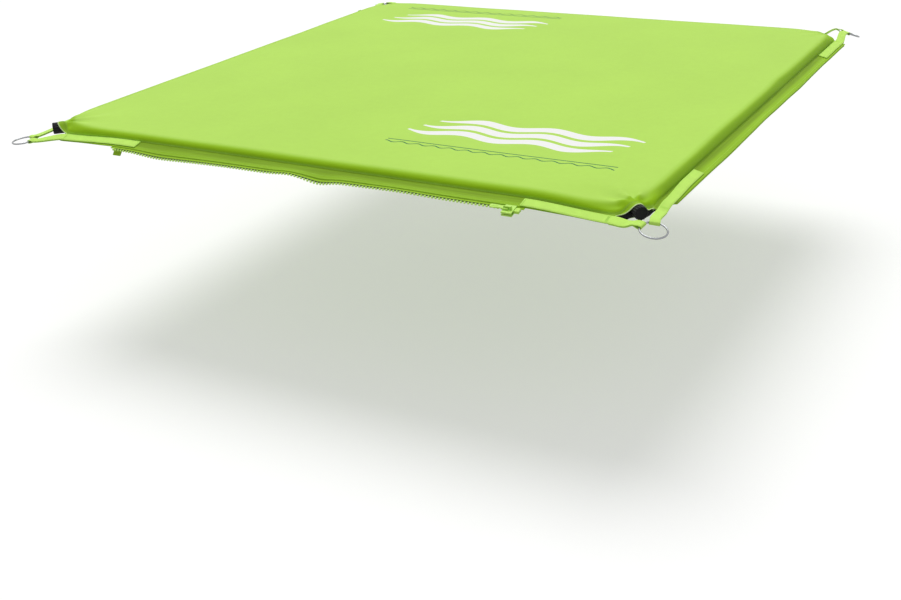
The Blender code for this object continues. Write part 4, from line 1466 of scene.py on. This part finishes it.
def valve_fin(name, matrix):
    """The black boat-shaped fin that the cover is welded to, ribbed along its length."""
    across = np.sin(np.linspace(-pi / 2, pi / 2, 49)) * FIN_HALF
    across[across > 0] *= FIN_SIDE_SWELL[name]
    fall = -CORNER_SAGS[name][0] * beside_valve(across)
    rows = []
    for step, x in enumerate(np.linspace(FIN_REAR, FIN_FRONT, FIN_ROWS)):
        edge = 0.94 if step in (0, FIN_ROWS - 1) else 1.0
        taper = 0.72 + 0.28 * ease(x, FIN_REAR, 0.0)
        rib = FIN_RIB if (step // 2) % 2 and x < FIN_RIB_END else 0.0
        above = np.maximum(lip_rise(across) * roof_share(x) * taper - rib, FIN_THIN) * edge
        below = np.maximum(lip_drop(across) * taper - rib, FIN_THIN) * edge
        y = across * edge
        rows.append(np.stack([np.full(2 * len(y), x), np.append(y, y[::-1]),
                              np.append(fall + above, (fall - below)[::-1])], 1))
    tube_piece("valve_" + name + "_fin", placed(np.array(rows), matrix), VALVE_PLASTIC)


CAP_START, CAP_RADIUS, CAP_BORE = 0.0055, 0.0110, 0.0073
CAP_FLOOR = 0.0225 + 2 * CLEARANCE
CAP_END = CAP_FLOOR + 0.0035
CAP_FLUTES, FLUTE_DEPTH = 16, 0.0009

# Profile of a cap, from its inside to its end: radius, place along its axis and how deep its flutes are there
CAP_PROFILE = (
    (0.0, CAP_FLOOR, 0), (CAP_BORE * 0.5, CAP_FLOOR, 0), (CAP_BORE - 0.0003, CAP_FLOOR, 0),
    (CAP_BORE, CAP_FLOOR - 0.0003, 0), (CAP_BORE, CAP_START + 0.0006, 0), (CAP_BORE + 0.0005, CAP_START, 0),
    (CAP_RADIUS - 0.0010, CAP_START, 0), (CAP_RADIUS - 0.0003, CAP_START + 0.0003, 0.4),
    (CAP_RADIUS, CAP_START + 0.0010, 1), (CAP_RADIUS, (CAP_START + CAP_END) / 2, 1),
    (CAP_RADIUS, CAP_END - 0.0016, 1), (CAP_RADIUS - 0.0003, CAP_END - 0.0007, 1),
    (CAP_RADIUS - 0.0009, CAP_END - 0.0002, 0.5), (CAP_RADIUS - 0.0016, CAP_END, 0.1),
    (CAP_RADIUS - 0.0026, CAP_END, 0), (CAP_RADIUS - 0.0031, CAP_END - 0.0007, 0),
    (CAP_RADIUS * 0.45, CAP_END - 0.0009, 0), (0.0, CAP_END - 0.0009, 0),
)


def valve_cap(name, matrix):
    """The fluted screw cap, with a raised rim and a shallow dish on its end."""
    angles = np.linspace(0, 2 * pi, 192, endpoint=False)
    dip = FLUTE_DEPTH * (0.5 - 0.5 * np.cos(CAP_FLUTES * angles)) ** 1.6
    rows = [ring_points(x, radius - dip * fluted, angles) for radius, x, fluted in CAP_PROFILE[1:-1]]
    tips = [[(x, 0, 0)] for _, x, _ in (CAP_PROFILE[0], CAP_PROFILE[-1])]
    made = mesh_piece("valve_" + name + "_cap_moulded", placed(np.concatenate(rows + tips), matrix),
                      tipped_faces(len(rows), len(angles)), CAP_PLASTIC,
                      "valve_" + name + "_cap", 35)
    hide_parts("valve_" + name + "_cap")


# The dressed mat

def dress_mat():
    top = cover_piece("cover_top_cloth", 1, top_rows(), TOP_FABRIC, "top_cover")
    under = cover_piece("cover_under_cloth", -1, under_rows(), UNDER_FABRIC,
                        "bottom_cover")
    foam_piece()

    for side in SIDE_NAMES:
        tape_piece(side)
        teeth_piece(side)
        flange_stitches(side)
        stop_sign = -1 if side in ("front", "right") else 1
        block_piece("zip_" + side + "_stop", side, stop_sign, (STOP_LENGTH, TOOTH_OUT, TOOTH_THICKNESS))
    zip_tab()
    for side, sign in (("front", 1), ("left", -1)):
        keep_solid("zip_" + side + "_retainer", TOOTH_PLASTIC, 0.0008)
        keep_solid("slider_" + side, SLIDER_PLASTIC, 0.0003)
        pull_object(side, sign)
    for side, sign in (("back", -1), ("right", 1)):
        block_piece("zip_" + side + "_pin", side, sign, (PIN_LENGTH, TOOTH_THICKNESS, TOOTH_THICKNESS))

    for name in CORNER_HANG:
        corner = Corner(name)
        ring_piece(name, corner)
        depth_side, width_side = name.split("_")
        end_sign = 1 if name in ("front_right", "back_left") else -1
        strap_piece("strap_" + name + "_end_webbing", depth_side, end_sign, corner, corner.end_loop)
        strap_piece("strap_" + name + "_side_webbing", width_side, -end_sign, corner, corner.side_loop)

    for name in VALVE_CORNERS:
        matrix = valve_matrix(name)
        threaded_stem(name, matrix)
        valve_fin(name, matrix)
        valve_cap(name, matrix)
        keep_solid("valve_" + name + "_seal", SEAL_RUBBER, 0.0003)


# Camera, light and floor

FLOOR_DROP = 0.40

# The camera fitted to the photo: place, angles, and the focal length and picture width in pixels
CAMERA_PLACE = (1.194, -2.180, 0.6605)
CAMERA_ANGLES = (-30.44, 24.79, -2.84)
FOCAL_PIXELS, PHOTO_WIDTH, SENSOR_WIDTH = 1212.0, 901.0, 36.0


def camera():
    azimuth, elevation, roll = np.radians(CAMERA_ANGLES)
    forward = Vector((sin(azimuth) * cos(elevation), cos(azimuth) * cos(elevation), -sin(elevation)))
    right = Vector((cos(azimuth), -sin(azimuth), 0))
    upward = right.cross(forward)
    turned_right = right * cos(roll) + upward * sin(roll)
    turned_up = upward * cos(roll) - right * sin(roll)

    data = bpy.data.cameras.new("photo_camera")
    data.sensor_fit = "HORIZONTAL"
    data.sensor_width = SENSOR_WIDTH
    data.lens = FOCAL_PIXELS * SENSOR_WIDTH / PHOTO_WIDTH
    made = link("photo_camera", data)
    matrix = Matrix((turned_right, turned_up, -forward)).transposed().to_4x4()
    made.matrix_world = Matrix.Translation(CAMERA_PLACE) @ matrix
    bpy.context.scene.camera = made


def seen_directly(tree):
    """1 for rays from the camera, off shiny surfaces or through clear ones."""
    path = node(tree, "ShaderNodeLightPath")
    seen = maths("MAXIMUM", path.outputs["Is Camera Ray"], path.outputs["Is Glossy Ray"])
    return maths("MAXIMUM", seen, path.outputs["Is Transmission Ray"])


def studio():
    world = bpy.data.worlds.new("studio_world")
    bpy.context.scene.world = world
    world.use_nodes = True
    tree = world.node_tree
    background = tree.nodes["Background"]
    background.inputs["Color"].default_value = (1, 1, 1, 1)
    feed(background.inputs["Strength"], span(seen_directly(tree), 0.0, 1.0, 0.42, 1.0))

    sun = bpy.data.lights.new("overhead_softbox", "SUN")
    sun.energy = 1.95
    sun.angle = radians(38)
    way = Vector((0.22, -0.30, -1.0)).normalized()
    link("overhead_softbox", sun).rotation_euler = way.to_track_quat("-Z", "Y").to_euler()

    mesh = bpy.data.meshes.new("studio_floor")
    size, level = 14.0, -FLOOR_DROP
    mesh.from_pydata([(-size, -size, level), (size, -size, level), (size, size, level), (-size, size, level)],
                     [], [(0, 1, 2, 3)])
    floor = link("studio_floor", mesh)
    made, tree, shader = new_material("pale_floor", (0.58, 0.58, 0.58), 0.9, Specular_IOR_Level=0.0)
    shader["Emission Strength"].default_value = 1.0
    glow = blend_colours(seen_directly(tree), (0, 0, 0), (0.46, 0.46, 0.46))
    feed(shader["Emission Color"], glow)
    mesh.materials.append(made)


dress_mat()
camera()
studio()
bpy.context.scene.view_settings.view_transform = "Standard"
